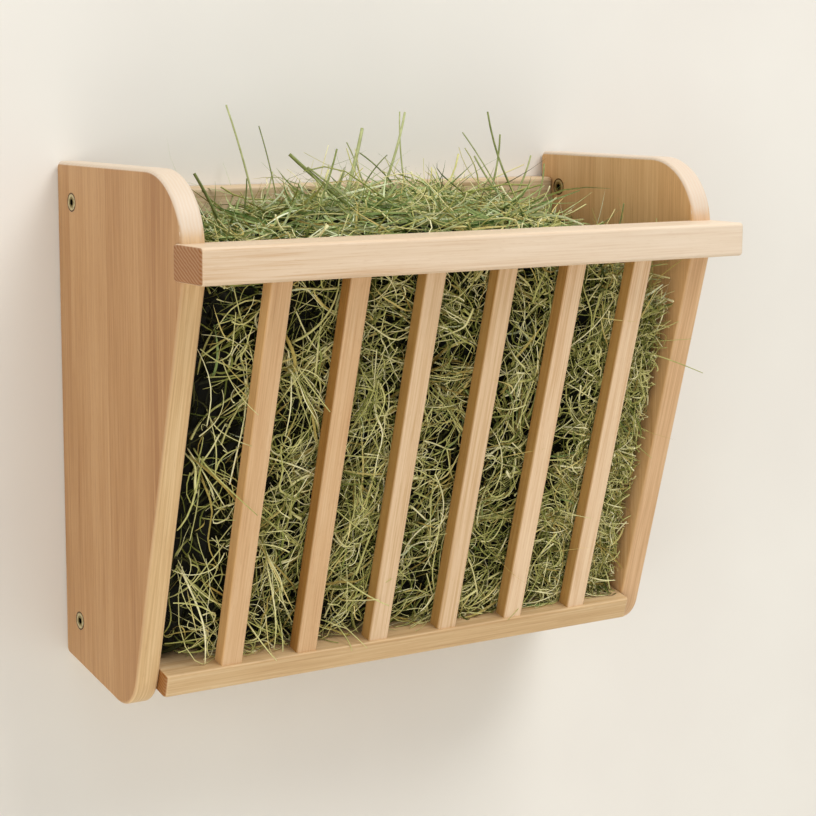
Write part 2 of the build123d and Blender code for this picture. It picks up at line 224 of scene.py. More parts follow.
@dataclass(frozen=True)
class OiledRubberwood:
    """Rubberwood, planed, sanded and oiled: a warm tan with fine straight fibres and short pores.

    The oil leaves a low satin sheen.  Sanding rounds the arrises, which get a painted highlight,
    and end grain drinks the oil and turns browner; the upward faces of upright boards get a pale end
    colour that is partly painted sheen and top light.
    """

    name: str
    light: str = "#E2C49D"
    middle: str = "#D3AF84"
    dark: str = "#B98C5B"
    end_grain_and_top_sheen: str = "#9A6B3F"
    ring_strength: float = 0.28
    # painted highlight on the rounded edges
    arris_highlight: str = "#E9CDA6"
    side: str = "#E6D8BE"  # multiplies the faces towards -X and +X: painted shade, as the lamps light them less than the fronts
    grain: Grain = Grain.UPRIGHT
    stave_mm: float = 0.0  # width of the glued strips across Y, 0 for one solid board
    seed: float = 0.0
    roughness: float = 0.44
    sheen: float = 0.25  # the oil has soaked in, so it shines half as much as a varnish
    fibre_mm: tuple[float, float] = (1.1, 60.0)  # across and along the grain
    streak_mm: tuple[float, float] = (4.0, 260.0)
    drift_mm: tuple[float, float] = (26.0, 480.0)
    pore_mm: tuple[float, float] = (0.9, 9.0)
    ring_mm: float = 2.2  # between growth rings on the end grain, drawn coarser than they are
    end_start: float = 0.70  # how squarely a face must cut the fibres to look like end grain
    painted_light_towards_x: str = ""  # colour that the board fades to towards +X: painted light from the lamp on the right

    def material(self) -> bpy.types.Material:
        """Builds the finish.

        Returns:
            The material.
        """
        material, tree, shader = new_material(self.name)
        coords = add_node(tree, "ShaderNodeTexCoord")
        place = coords.outputs["Object"]
        stave_tone = None
        if self.stave_mm:
            place = self._edge_lines(tree, place, coords.outputs["Normal"])
            place, stave_tone = self._staves(tree, place)
        turned = add_node(
            tree,
            "ShaderNodeMapping",
            values={"Rotation": self.grain.value, "Location": (self.seed, self.seed * 0.7, 0.0)},
            links={"Vector": place},
        ).outputs[0]
        fibre = self._stretched(tree, turned, self.fibre_mm, 3.0, 0.2)
        streak = self._stretched(tree, turned, self.streak_mm, 3.0, 0.6)
        drift = self._stretched(tree, turned, self.drift_mm, 2.0, 0.4)
        pores = self._stretched(tree, turned, self.pore_mm, 2.0, 0.0)
        pore_mask = add_node(
            tree,
            "ShaderNodeMapRange",
            {"interpolation_type": "SMOOTHSTEP"},
            {"From Min": 0.58, "From Max": 0.70},
            {"Value": pores},
        ).outputs[0]
        tone = calculate(tree, "MULTIPLY", drift, 0.28)
        tone = calculate(tree, "MULTIPLY_ADD", streak, 0.27, tone)
        tone = calculate(tree, "MULTIPLY_ADD", fibre, 0.45, tone)
        if stave_tone is not None:
            tone = calculate(tree, "ADD", tone, stave_tone)
        colour = ramp(
            tree,
            tone,
            [(0.36, linear(self.dark)), (0.49, linear(self.middle)), (0.62, linear(self.light))],
        )
        colour = blend_colours(
            tree, calculate(tree, "MULTIPLY", pore_mask, 0.30), colour, linear(self.dark)
        )
        # painted light towards +X
        if self.painted_light_towards_x:
            colour = self._fade(tree, coords.outputs["Object"], colour)
        # painted shade on the faces towards -X and +X
        colour = self._paint_side_shade(tree, coords.outputs["Normal"], colour)
        # painted highlights on the arrises
        colour = self._paint_arris_highlights(tree, coords.outputs["Normal"], colour)
        colour = self._ends(tree, coords.outputs["Normal"], turned, colour)
        tree.links.new(colour, shader.inputs["Base Color"])
        rough = calculate(tree, "MULTIPLY_ADD", fibre, 0.16, self.roughness - 0.08)
        tree.links.new(rough, shader.inputs["Roughness"])
        shader.inputs["Specular IOR Level"].default_value = self.sheen
        relief = calculate(tree, "MULTIPLY_ADD", pore_mask, -0.8, fibre)
        bump = add_node(
            tree,
            "ShaderNodeBump",
            values={"Strength": 0.22, "Distance": 0.10 * MM},
            links={"Height": relief},
        )
        tree.links.new(bump.outputs["Normal"], shader.inputs["Normal"])
        return material

    def _fade(
        self,
        tree: bpy.types.NodeTree,
        place: bpy.types.NodeSocket,
        colour: bpy.types.NodeSocket,
    ) -> bpy.types.NodeSocket:
        """Fades a board that lies along the wall to a paler colour towards +X: painted light from the right.

        Args:
            tree: The node tree.
            place: Object coordinates.
            colour: The colour so far.

        Returns:
            The faded colour.
        """
        along = add_node(tree, "ShaderNodeSeparateXYZ", links={"Vector": place}).outputs["X"]
        mask = add_node(
            tree,
            "ShaderNodeMapRange",
            values={"From Min": -200 * MM, "From Max": 200 * MM, "To Max": 0.42},
            links={"Value": along},
        ).outputs[0]
        return blend_colours(tree, mask, colour, linear(self.painted_light_towards_x))

    @staticmethod
    def _edge_lines(
        tree: bpy.types.NodeTree, place: bpy.types.NodeSocket, normal: bpy.types.NodeSocket
    ) -> bpy.types.NodeSocket:
        """Keeps the fibres of a panel's slanted front edge running along that edge.

        Args:
            tree: The node tree.
            place: Object coordinates.
            normal: Object-space normal.

        Returns:
            Coordinates whose Y stays the same over the front edge.
        """
        facing = add_node(tree, "ShaderNodeSeparateXYZ", links={"Vector": normal}).outputs["Y"]
        parts = add_node(tree, "ShaderNodeSeparateXYZ", links={"Vector": place})
        side = calculate(tree, "GREATER_THAN", facing, -0.35)
        return add_node(
            tree,
            "ShaderNodeCombineXYZ",
            links={
                "X": parts.outputs["X"],
                "Y": calculate(tree, "MULTIPLY", parts.outputs["Y"], side),
                "Z": parts.outputs["Z"],
            },
        ).outputs[0]

    def _staves(
        self, tree: bpy.types.NodeTree, place: bpy.types.NodeSocket
    ) -> tuple[bpy.types.NodeSocket, bpy.types.NodeSocket]:
        """Splits a panel across Y into glued strips, each with its own tone and pattern.

        Args:
            tree: The node tree.
            place: Object coordinates.

        Returns:
            The shifted coordinates and each strip's tone offset.
        """
        parts = add_node(tree, "ShaderNodeSeparateXYZ", links={"Vector": place})
        strip = calculate(
            tree,
            "FLOOR",
            calculate(tree, "MULTIPLY_ADD", parts.outputs["Y"], 1 / (self.stave_mm * MM), 7.35),
        )
        noise = add_node(
            tree, "ShaderNodeTexWhiteNoise", {"noise_dimensions": "1D"}, links={"W": strip}
        )
        shift = calculate(tree, "MULTIPLY", strip, 1.713)
        lifted = add_node(
            tree,
            "ShaderNodeCombineXYZ",
            links={
                "X": parts.outputs["X"],
                "Y": parts.outputs["Y"],
                "Z": calculate(tree, "ADD", parts.outputs["Z"], shift),
            },
        )
        offset = calculate(tree, "MULTIPLY_ADD", noise.outputs["Value"], 0.10, -0.05)
        return lifted.outputs[0], offset

    @staticmethod
    def _stretched(
        tree: bpy.types.NodeTree,
        place: bpy.types.NodeSocket,
        size_mm: tuple[float, float],
        detail: float,
        distortion: float,
    ) -> bpy.types.NodeSocket:
        """Adds noise drawn out along the grain.

        Args:
            tree: The node tree.
            place: Coordinates with the grain on Z.
            size_mm: Size of a feature across and along the grain.
            detail: Octaves of finer noise.
            distortion: How much the lines waver.

        Returns:
            The noise value.
        """
        across, along = size_mm
        scaled = add_node(
            tree,
            "ShaderNodeMapping",
            values={"Scale": (1 / (across * MM), 1 / (across * MM), 1 / (along * MM))},
            links={"Vector": place},
        )
        noise = add_node(
            tree,
            "ShaderNodeTexNoise",
            values={"Scale": 1.0, "Detail": detail, "Distortion": distortion},
            links={"Vector": scaled.outputs[0]},
        )
        return noise.outputs["Fac"]

    def _paint_side_shade(
        self,
        tree: bpy.types.NodeTree,
        normal: bpy.types.NodeSocket,
        colour: bpy.types.NodeSocket,
    ) -> bpy.types.NodeSocket:
        """Paints shade on the faces that look along the wall by multiplying them with the side tint.

        Args:
            tree: The node tree.
            normal: Object-space normal.
            colour: The colour so far.

        Returns:
            The colour with painted shade on the side faces.
        """
        facing = add_node(tree, "ShaderNodeSeparateXYZ", links={"Vector": normal}).outputs["X"]
        mask = add_node(
            tree,
            "ShaderNodeMapRange",
            {"interpolation_type": "SMOOTHSTEP"},
            {"From Min": 0.35, "From Max": 0.95},
            {"Value": calculate(tree, "ABSOLUTE", facing)},
        ).outputs[0]
        return blend_colours(tree, mask, colour, linear(self.side), "MULTIPLY")

    def _paint_arris_highlights(
        self,
        tree: bpy.types.NodeTree,
        normal: bpy.types.NodeSocket,
        colour: bpy.types.NodeSocket,
    ) -> bpy.types.NodeSocket:
        """Paints a highlight on the rounded edges between the faces.

        Args:
            tree: The node tree.
            normal: Object-space normal.
            colour: The colour so far.

        Returns:
            The colour with painted highlights on the arrises.
        """
        turned = add_node(
            tree,
            "ShaderNodeMapping",
            values={"Rotation": self.grain.value},
            links={"Vector": normal},
        ).outputs[0]
        parts = add_node(tree, "ShaderNodeSeparateXYZ", links={"Vector": turned})
        first = parts.outputs["X"] if self.grain is not Grain.ALONG_WALL else parts.outputs["Y"]
        size = calculate(tree, "ABSOLUTE", first)
        rest = calculate(
            tree, "SQRT", calculate(tree, "SUBTRACT", 1.0, calculate(tree, "MULTIPLY", size, size))
        )
        bevel = calculate(tree, "MULTIPLY", calculate(tree, "MULTIPLY", size, rest), 2.0)
        mask = add_node(
            tree,
            "ShaderNodeMapRange",
            {"interpolation_type": "SMOOTHSTEP"},
            {"From Min": 0.35, "From Max": 0.95, "To Max": 0.16},
            {"Value": bevel},
        ).outputs[0]
        return blend_colours(tree, mask, colour, linear(self.arris_highlight))

    def _ends(
        self,
        tree: bpy.types.NodeTree,
        normal: bpy.types.NodeSocket,
        turned: bpy.types.NodeSocket,
        colour: bpy.types.NodeSocket,
    ) -> bpy.types.NodeSocket:
        """Browns the end grain and draws its growth rings; on upright boards the end colour is pale
        and partly painted sheen and top light on their upward faces.

        Args:
            tree: The node tree.
            normal: Object-space normal.
            turned: Coordinates with the grain on Z.
            colour: The colour so far.

        Returns:
            The colour with end grain.
        """
        facing = add_node(
            tree,
            "ShaderNodeMapping",
            values={"Rotation": self.grain.value},
            links={"Vector": normal},
        ).outputs[0]
        up_part = add_node(tree, "ShaderNodeSeparateXYZ", links={"Vector": facing}).outputs["Z"]
        if self.grain is not Grain.UPRIGHT:  # on upright boards only faces turned up get the end colour, which is partly painted sheen and top light
            up_part = calculate(tree, "ABSOLUTE", up_part)
        mask = add_node(
            tree,
            "ShaderNodeMapRange",
            {"interpolation_type": "SMOOTHSTEP"},
            {"From Min": self.end_start, "From Max": self.end_start + 0.27, "To Max": 0.94},
            {"Value": up_part},
        ).outputs[0]
        tilted = add_node(
            tree,
            "ShaderNodeMapping",
            values={"Rotation": (0.0, 0.0, math.radians(33.0)), "Location": (0.06, 0.0, 0.0)},
            links={"Vector": turned},
        ).outputs[0]
        rings = add_node(
            tree,
            "ShaderNodeTexWave",
            {"wave_type": "RINGS", "rings_direction": "Z"},
            {
                "Scale": 2 * math.pi / 20 / (self.ring_mm * MM),  # its rings lie 2 pi / 20 apart
                "Distortion": 2.2,
                "Detail": 2.0,
                "Detail Scale": 1.4,
            },
            {"Vector": tilted},
        ).outputs["Fac"]
        end = blend_colours(
            tree,
            calculate(tree, "MULTIPLY", rings, self.ring_strength),
            linear(self.end_grain_and_top_sheen),
            linear(self.middle),
        )
        return blend_colours(tree, mask, colour, end)


@dataclass(frozen=True)
class TurnedBrass:
    """Brass turned on a lathe, left bare: a greenish gold rim round a socket darkened with painted shade."""

    name: str = "turned_brass"
    bright: str = "#DCD4AC"
    stained: str = "#A99C70"
    dish: str = "#8F8356"  # the hollow round the socket
    edge: str = "#5A3E22"  # painted shadow in the gap round the rim
    # painted shade inside the hex socket
    socket: str = "#2E2614"
    roughness: float = 0.36
    face_mm: float = 200.0  # distance of the heads' faces from the middle of the rack
    outward: bool = True  # whether the heads face away from the middle
    centre_mm: tuple[float, float] = (-21.5, 125.5)  # Y and Z of the heads
    rim_mm: tuple[float, float] = (3.4, 5.1)  # inner and outer radius of the bright rim

    def material(self) -> bpy.types.Material:
        """Builds the finish.

        Returns:
            The material.
        """
        material, tree, shader = new_material(self.name)
        coords = add_node(tree, "ShaderNodeTexCoord")
        stains = add_node(
            tree,
            "ShaderNodeTexNoise",
            values={"Scale": 1 / (2.0 * MM), "Detail": 3.0},
            links={"Vector": coords.outputs["Object"]},
        ).outputs["Fac"]
        colour = ramp(tree, stains, [(0.30, linear(self.stained)), (0.58, linear(self.bright))])
        parts = add_node(
            tree, "ShaderNodeSeparateXYZ", links={"Vector": coords.outputs["Object"]}
        )
        y = calculate(tree, "ADD", parts.outputs["Y"], -self.centre_mm[0] * MM)
        z = calculate(tree, "ADD", parts.outputs["Z"], -self.centre_mm[1] * MM)
        square = calculate(tree, "MULTIPLY_ADD", y, y, calculate(tree, "MULTIPLY", z, z))
        radius = calculate(tree, "SQRT", square)
        inner, outer = self.rim_mm
        # the second ring is painted shadow in the gap round the rim
        for low, high, other in (
            (inner + 0.4, inner - 0.4, self.dish),
            (outer - 0.2, outer + 0.2, self.edge),
        ):
            ring = add_node(
                tree,
                "ShaderNodeMapRange",
                values={"From Min": low * MM, "From Max": high * MM},
                links={"Value": radius},
            ).outputs[0]
            colour = blend_colours(tree, ring, colour, linear(other))
        # painted shade in the socket, below the head's face
        from_middle = calculate(tree, "ABSOLUTE", parts.outputs["X"])
        sign = -1.0 if self.outward else 1.0
        depth = calculate(tree, "MULTIPLY_ADD", from_middle, sign, -sign * self.face_mm * MM)
        mask = add_node(
            tree,
            "ShaderNodeMapRange",
            {"interpolation_type": "SMOOTHSTEP"},
            {"From Min": 0.15 * MM, "From Max": 0.9 * MM},
            {"Value": depth},
        ).outputs[0]
        colour = blend_colours(tree, mask, colour, linear(self.socket))
        tree.links.new(colour, shader.inputs["Base Color"])
        shader.inputs["Metallic"].default_value = 1.0
        rough = calculate(tree, "MULTIPLY_ADD", stains, 0.25, self.roughness - 0.1)
        tree.links.new(rough, shader.inputs["Roughness"])
        return material


@dataclass(frozen=True)
class DriedGrass:
    """Meadow grass dried in the field: matt.

    Each blade keeps some green, and its tone drifts to straw along its length and from blade to
    blade.
    """

    name: str
    shade: str
    middle: str
    tip: str
    roughness: float = 0.62
    sheen: float = 0.15  # dry, dusty blades hardly shine
    patch_mm: float = 26.0
    fleck_mm: float = 3.2

    def material(self) -> bpy.types.Material:
        """Builds the finish.

        Returns:
            The material.
        """
        material, tree, shader = new_material(self.name)
        coords = add_node(tree, "ShaderNodeTexCoord")
        patches = add_node(
            tree,
            "ShaderNodeTexNoise",
            values={"Scale": 1 / (self.patch_mm * MM), "Detail": 2.0},
            links={"Vector": coords.outputs["Object"]},
        ).outputs["Fac"]
        flecks = add_node(
            tree,
            "ShaderNodeTexNoise",
            values={"Scale": 1 / (self.fleck_mm * MM), "Detail": 2.0},
            links={"Vector": coords.outputs["Object"]},
        ).outputs["Fac"]
        tone_attribute = add_node(tree, "ShaderNodeAttribute", {"attribute_name": "tone"})
        tone = calculate(tree, "MULTIPLY", patches, 0.35)
        tone = calculate(tree, "MULTIPLY_ADD", flecks, 0.25, tone)
        tone = calculate(tree, "MULTIPLY_ADD", tone_attribute.outputs["Fac"], 0.40, tone)
        colour = ramp(
            tree,
            tone,
            [(0.30, linear(self.shade)), (0.50, linear(self.middle)), (0.72, linear(self.tip))],
        )
        tree.links.new(colour, shader.inputs["Base Color"])
        shader.inputs["Roughness"].default_value = self.roughness
        shader.inputs["Specular IOR Level"].default_value = self.sheen
        bump = add_node(
            tree,
            "ShaderNodeBump",
            values={"Strength": 0.3, "Distance": 0.15 * MM},
            links={"Height": flecks},
        )
        tree.links.new(bump.outputs["Normal"], shader.inputs["Normal"])
        return material


@dataclass(frozen=True)
class MattWallPaint:
    """Matt emulsion rolled on plaster: warm off-white with a hardly visible mottle."""

    name: str = "matt_wall_paint"
    colour: str = "#ECE8DF"
    mottle: str = "#E8E3DA"

    def material(self) -> bpy.types.Material:
        """Builds the finish.

        Returns:
            The material.
        """
        material, tree, shader = new_material(self.name)
        coords = add_node(tree, "ShaderNodeTexCoord")
        cloud = add_node(
            tree,
            "ShaderNodeTexNoise",
            values={"Scale": 1 / (240 * MM), "Detail": 3.0},
            links={"Vector": coords.outputs["Object"]},
        ).outputs["Fac"]
        paint = ramp(tree, cloud, [(0.35, linear(self.mottle)), (0.65, linear(self.colour))])
        tree.links.new(paint, shader.inputs["Base Color"])
        shader.inputs["Roughness"].default_value = 0.85
        return material


@dataclass
class RackSpace:
    """The inside of the rack, in millimetres, with heights from the panels' lower back corner."""

    half_width: float = 184.0
    lean: float = math.radians(15.0)
    rail_bottom: float = 257.0
    rail_top: float = 279.0
    rail_back: float = -164.0
    front_y: float = -170.0
    floor_height: float = 9.24  # where the floor meets the panels' slanted edge
    slat_count: int = 6
    slat_width: float = 15.0
    slat_back: float = 4.5  # from the panels' slanted edge to the backs of the slats
    slat_depth: float = 11.0
    back_rail: float = -15.0
    upper_rail: tuple[float, float] = (262.0, 302.0)
    lower_rail_top: float = 77.3

    @property
    def gap(self) -> float:
        """Clear width between two slats."""
        return (2 * self.half_width - self.slat_count * self.slat_width) / (self.slat_count + 1)

    @property
    def floor_front(self) -> float:
        """Y at which the floor's top meets the panels' slanted edge."""
        return self.front_y + (self.rail_bottom - self.floor_height) * math.tan(self.lean)

    def gap_middle(self, index: int) -> float:
        """X of the middle of a gap, counted from the left.

        Args:
            index: The gap's number from 0.

        Returns:
            The place along the wall.
        """
        return -self.half_width + self.gap / 2 + index * (self.gap + self.slat_width)

    def behind_slats(self, points: np.ndarray) -> np.ndarray:
        """How far points lie behind the backs of the slats, square to them.

        Args:
            points: X, Y and height in the last axis.

        Returns:
            One distance for each point.
        """
        c, s = math.cos(self.lean), math.sin(self.lean)
        away = (points[..., 1] - self.front_y) * c + (points[..., 2] - self.rail_bottom) * s
        return away - self.slat_back

    def on_front(self, x: np.ndarray, height: np.ndarray, behind: np.ndarray) -> np.ndarray:
        """Points at given distances behind the slats.

        Args:
            x: Places along the wall.
            height: Heights on the backs of the slats.
            behind: Distances behind the slats, square to them.

        Returns:
            The points.
        """
        c, s = math.cos(self.lean), math.sin(self.lean)
        y = self.front_y - (height - self.rail_bottom) * math.tan(self.lean)
        reach = behind + self.slat_back
        return np.stack([x, y + reach * c, height + reach * s], axis=-1)

    def keep_inside(self, points: np.ndarray, bulge: np.ndarray) -> np.ndarray:
        """Pushes points out of the woodwork.

        Args:
            points: Blades by points by X, Y and height.
            bulge: For each blade, how far it may swell out between two slats.

        Returns:
            The moved points.
        """
        c, s = math.cos(self.lean), math.sin(self.lean)
        p = points.copy()
        inside = p[..., 2] < 322.0
        p[..., 0] = np.where(
            inside, np.clip(p[..., 0], -self.half_width + 0.8, self.half_width - 0.8), p[..., 0]
        )
        pitch = self.gap + self.slat_width
        from_side = np.mod(p[..., 0] + self.half_width, pitch)
        in_gap = np.clip(from_side / self.gap, 0.0, 1.0)
        room = np.sin(np.pi * in_gap) ** 0.7
        limit = 0.9 - (bulge[:, None] + 0.9) * np.where(from_side < self.gap, room, 0.0)
        behind = self.behind_slats(p)
        push = np.where(p[..., 2] < self.rail_bottom + 1.0, np.maximum(limit - behind, 0.0), 0.0)
        p[..., 1] += push * c
        p[..., 2] += push * s
        over_rail = np.where(p[..., 2] < self.rail_top + 0.8, self.rail_back + 0.8, self.rail_back - 3.0)
        p[..., 1] = np.where(
            p[..., 2] > self.rail_bottom - 1.0, np.maximum(p[..., 1], over_rail), p[..., 1]
        )
        above = (p[..., 1] - self.floor_front) * -s + (p[..., 2] - self.floor_height) * c
        lift = np.maximum(0.7 - above, 0.0)
        p[..., 1] -= lift * s
        p[..., 2] += lift * c
        at_back = ((p[..., 2] > self.upper_rail[0] - 1) & (p[..., 2] < self.upper_rail[1] + 0.8)) | (
            p[..., 2] < self.lower_rail_top + 0.8
        )
        p[..., 1] = np.minimum(p[..., 1], np.where(at_back, self.back_rail - 0.8, -1.5))
        return p


def to_frame(points: np.ndarray) -> np.ndarray:
    """Turns millimetres and heights to the frame's metres.

    Args:
        points: X, Y and height in the last axis.

    Returns:
        The same points in the frame.
    """
    return (points - np.array([0.0, 0.0, ORIGIN_HEIGHT])) * MM


def unit(vectors: np.ndarray) -> np.ndarray:
    """Scales vectors to length 1.

    Args:
        vectors: Vectors in the last axis.

    Returns:
        The unit vectors.
    """
    return vectors / np.maximum(np.linalg.norm(vectors, axis=-1, keepdims=True), 1e-9)


@dataclass
class GrassBatch:
    """Blades of one kind: their middle lines, widths and tones."""

    name: str
    finish: DriedGrass
    lines: list[np.ndarray] = field(default_factory=list)  # each blades x points x 3, in mm
    widths: list[np.ndarray] = field(default_factory=list)
    tones: list[np.ndarray] = field(default_factory=list)
    rounded: bool = False
    tip_share: float = 0.45  # width of a round stem at its tip, as a share of its root

    def add(self, lines: np.ndarray, widths: np.ndarray, tones: np.ndarray) -> None:
        """Adds blades.

        Args:
            lines: Blades by points by X, Y and height, in mm.
            widths: Each blade's greatest width, in mm.
            tones: Each blade's tone from 0 to 1.
        """
        self.lines.append(lines)
        self.widths.append(widths)
        self.tones.append(tones)

    def build(self, rng: np.random.Generator) -> bpy.types.Object:
        """Makes one mesh of all the blades.

        Args:
            rng: The source of the blades' turns.

        Returns:
            The mesh object.
        """
        verts: list[np.ndarray] = []
        faces: list[np.ndarray] = []
        tone_values: list[np.ndarray] = []
        start = 0
        for lines, widths, tones in zip(self.lines, self.widths, self.tones):
            new_verts, new_faces = self._strips(lines, widths, rng)
            verts.append(new_verts.reshape(-1, 3))
            faces.append(new_faces + start)
            start += len(verts[-1])
            per_blade = new_verts.shape[1] * new_verts.shape[2]
            tone_values.append(np.repeat(tones, per_blade))
        all_verts = to_frame(np.concatenate(verts))
        all_faces = np.concatenate(faces)
        mesh = bpy.data.meshes.new(self.name)
        mesh.vertices.add(len(all_verts))
        mesh.vertices.foreach_set("co", all_verts.ravel())
        mesh.loops.add(all_faces.size)
        mesh.loops.foreach_set("vertex_index", all_faces.ravel())
        mesh.polygons.add(len(all_faces))
        mesh.polygons.foreach_set("loop_start", np.arange(0, all_faces.size, 4))
        attribute = mesh.attributes.new("tone", "FLOAT", "POINT")
        attribute.data.foreach_set("value", np.concatenate(tone_values))
        mesh.update(calc_edges=True)
        mesh.validate()
        mesh.polygons.foreach_set("use_smooth", np.ones(len(mesh.polygons), dtype=bool))
        mesh.materials.append(self.finish.material())
        piece = bpy.data.objects.new(self.name, mesh)
        bpy.context.scene.collection.objects.link(piece)
        return piece

    def _strips(
        self, lines: np.ndarray, widths: np.ndarray, rng: np.random.Generator
    ) -> tuple[np.ndarray, np.ndarray]:
        """Gives width to middle lines: a folded strip, or a square tube for a round stem.

        Args:
            lines: Blades by points by X, Y and height.
            widths: Each blade's greatest width.
            rng: The source of the blades' turns.

        Returns:
            Vertices as blades by points by corners by 3, and quads of vertex numbers.
        """
        blades, points = lines.shape[:2]
        tangent = unit(np.gradient(lines, axis=1))
        spin = unit(rng.normal(size=(blades, 1, 3)))
        side = unit(np.cross(tangent, spin))
        flat = np.cross(side, tangent)
        along = np.linspace(0.0, 1.0, points)
        if self.rounded:
            taper = 1.0 - (1.0 - self.tip_share) * along
            turns = [(0.0, 1.0), (1.0, 0.0), (0.0, -1.0), (-1.0, 0.0)]
        else:
            taper = np.minimum(1.0, 0.35 + 3.0 * along) * np.minimum(1.0, (1.0 - along) * 2.6 + 0.10)
            turns = [(-1.0, 0.0), (0.0, 0.30), (1.0, 0.0)]
        half = (widths[:, None] / 2 * taper[None, :])[..., None]
        corners = [lines + half * (side * a + flat * b) for a, b in turns]
        verts = np.stack(corners, axis=2)
        count = len(turns)
        base = np.arange(blades)[:, None, None] * points * count
        step = np.arange(points - 1)[None, :, None] * count
        if self.rounded:
            first = np.arange(count)[None, None, :]
            second = (first + 1) % count
        else:
            first = np.arange(count - 1)[None, None, :]
            second = first + 1
        a = base + step + first
        b = base + step + second
        quads = np.stack([a, b, b + count, a + count], axis=-1).reshape(-1, 4)
        if self.rounded:
            roots = base.reshape(-1, 1) + np.arange(count)[None, ::-1]
            tips = base.reshape(-1, 1) + (points - 1) * count + np.arange(count)[None, :]
            quads = np.concatenate([quads, roots, tips])
        return verts, quads


@dataclass(frozen=True)
class Lay:
    """One layer of blades and their sizes, in millimetres."""

    count: int
    shallow: float  # least depth below the heap's surface
    spread: float  # mean of the further depth
    shares: dict[str, float]
    length: float
    bend: float  # in radians, over a blade
    width: float
    clumping: float = 0.0  # 0 for an even layer, 1 for one that leaves the hollows bare
    points: int = 10
    from_root: bool = False
    from_x: float = -182.0  # where along the wall the layer begins
    ceiling: float = 340.0  # blades that would reach above this height are left out
    on_front: bool = False  # True where the blades follow the front as it falls back


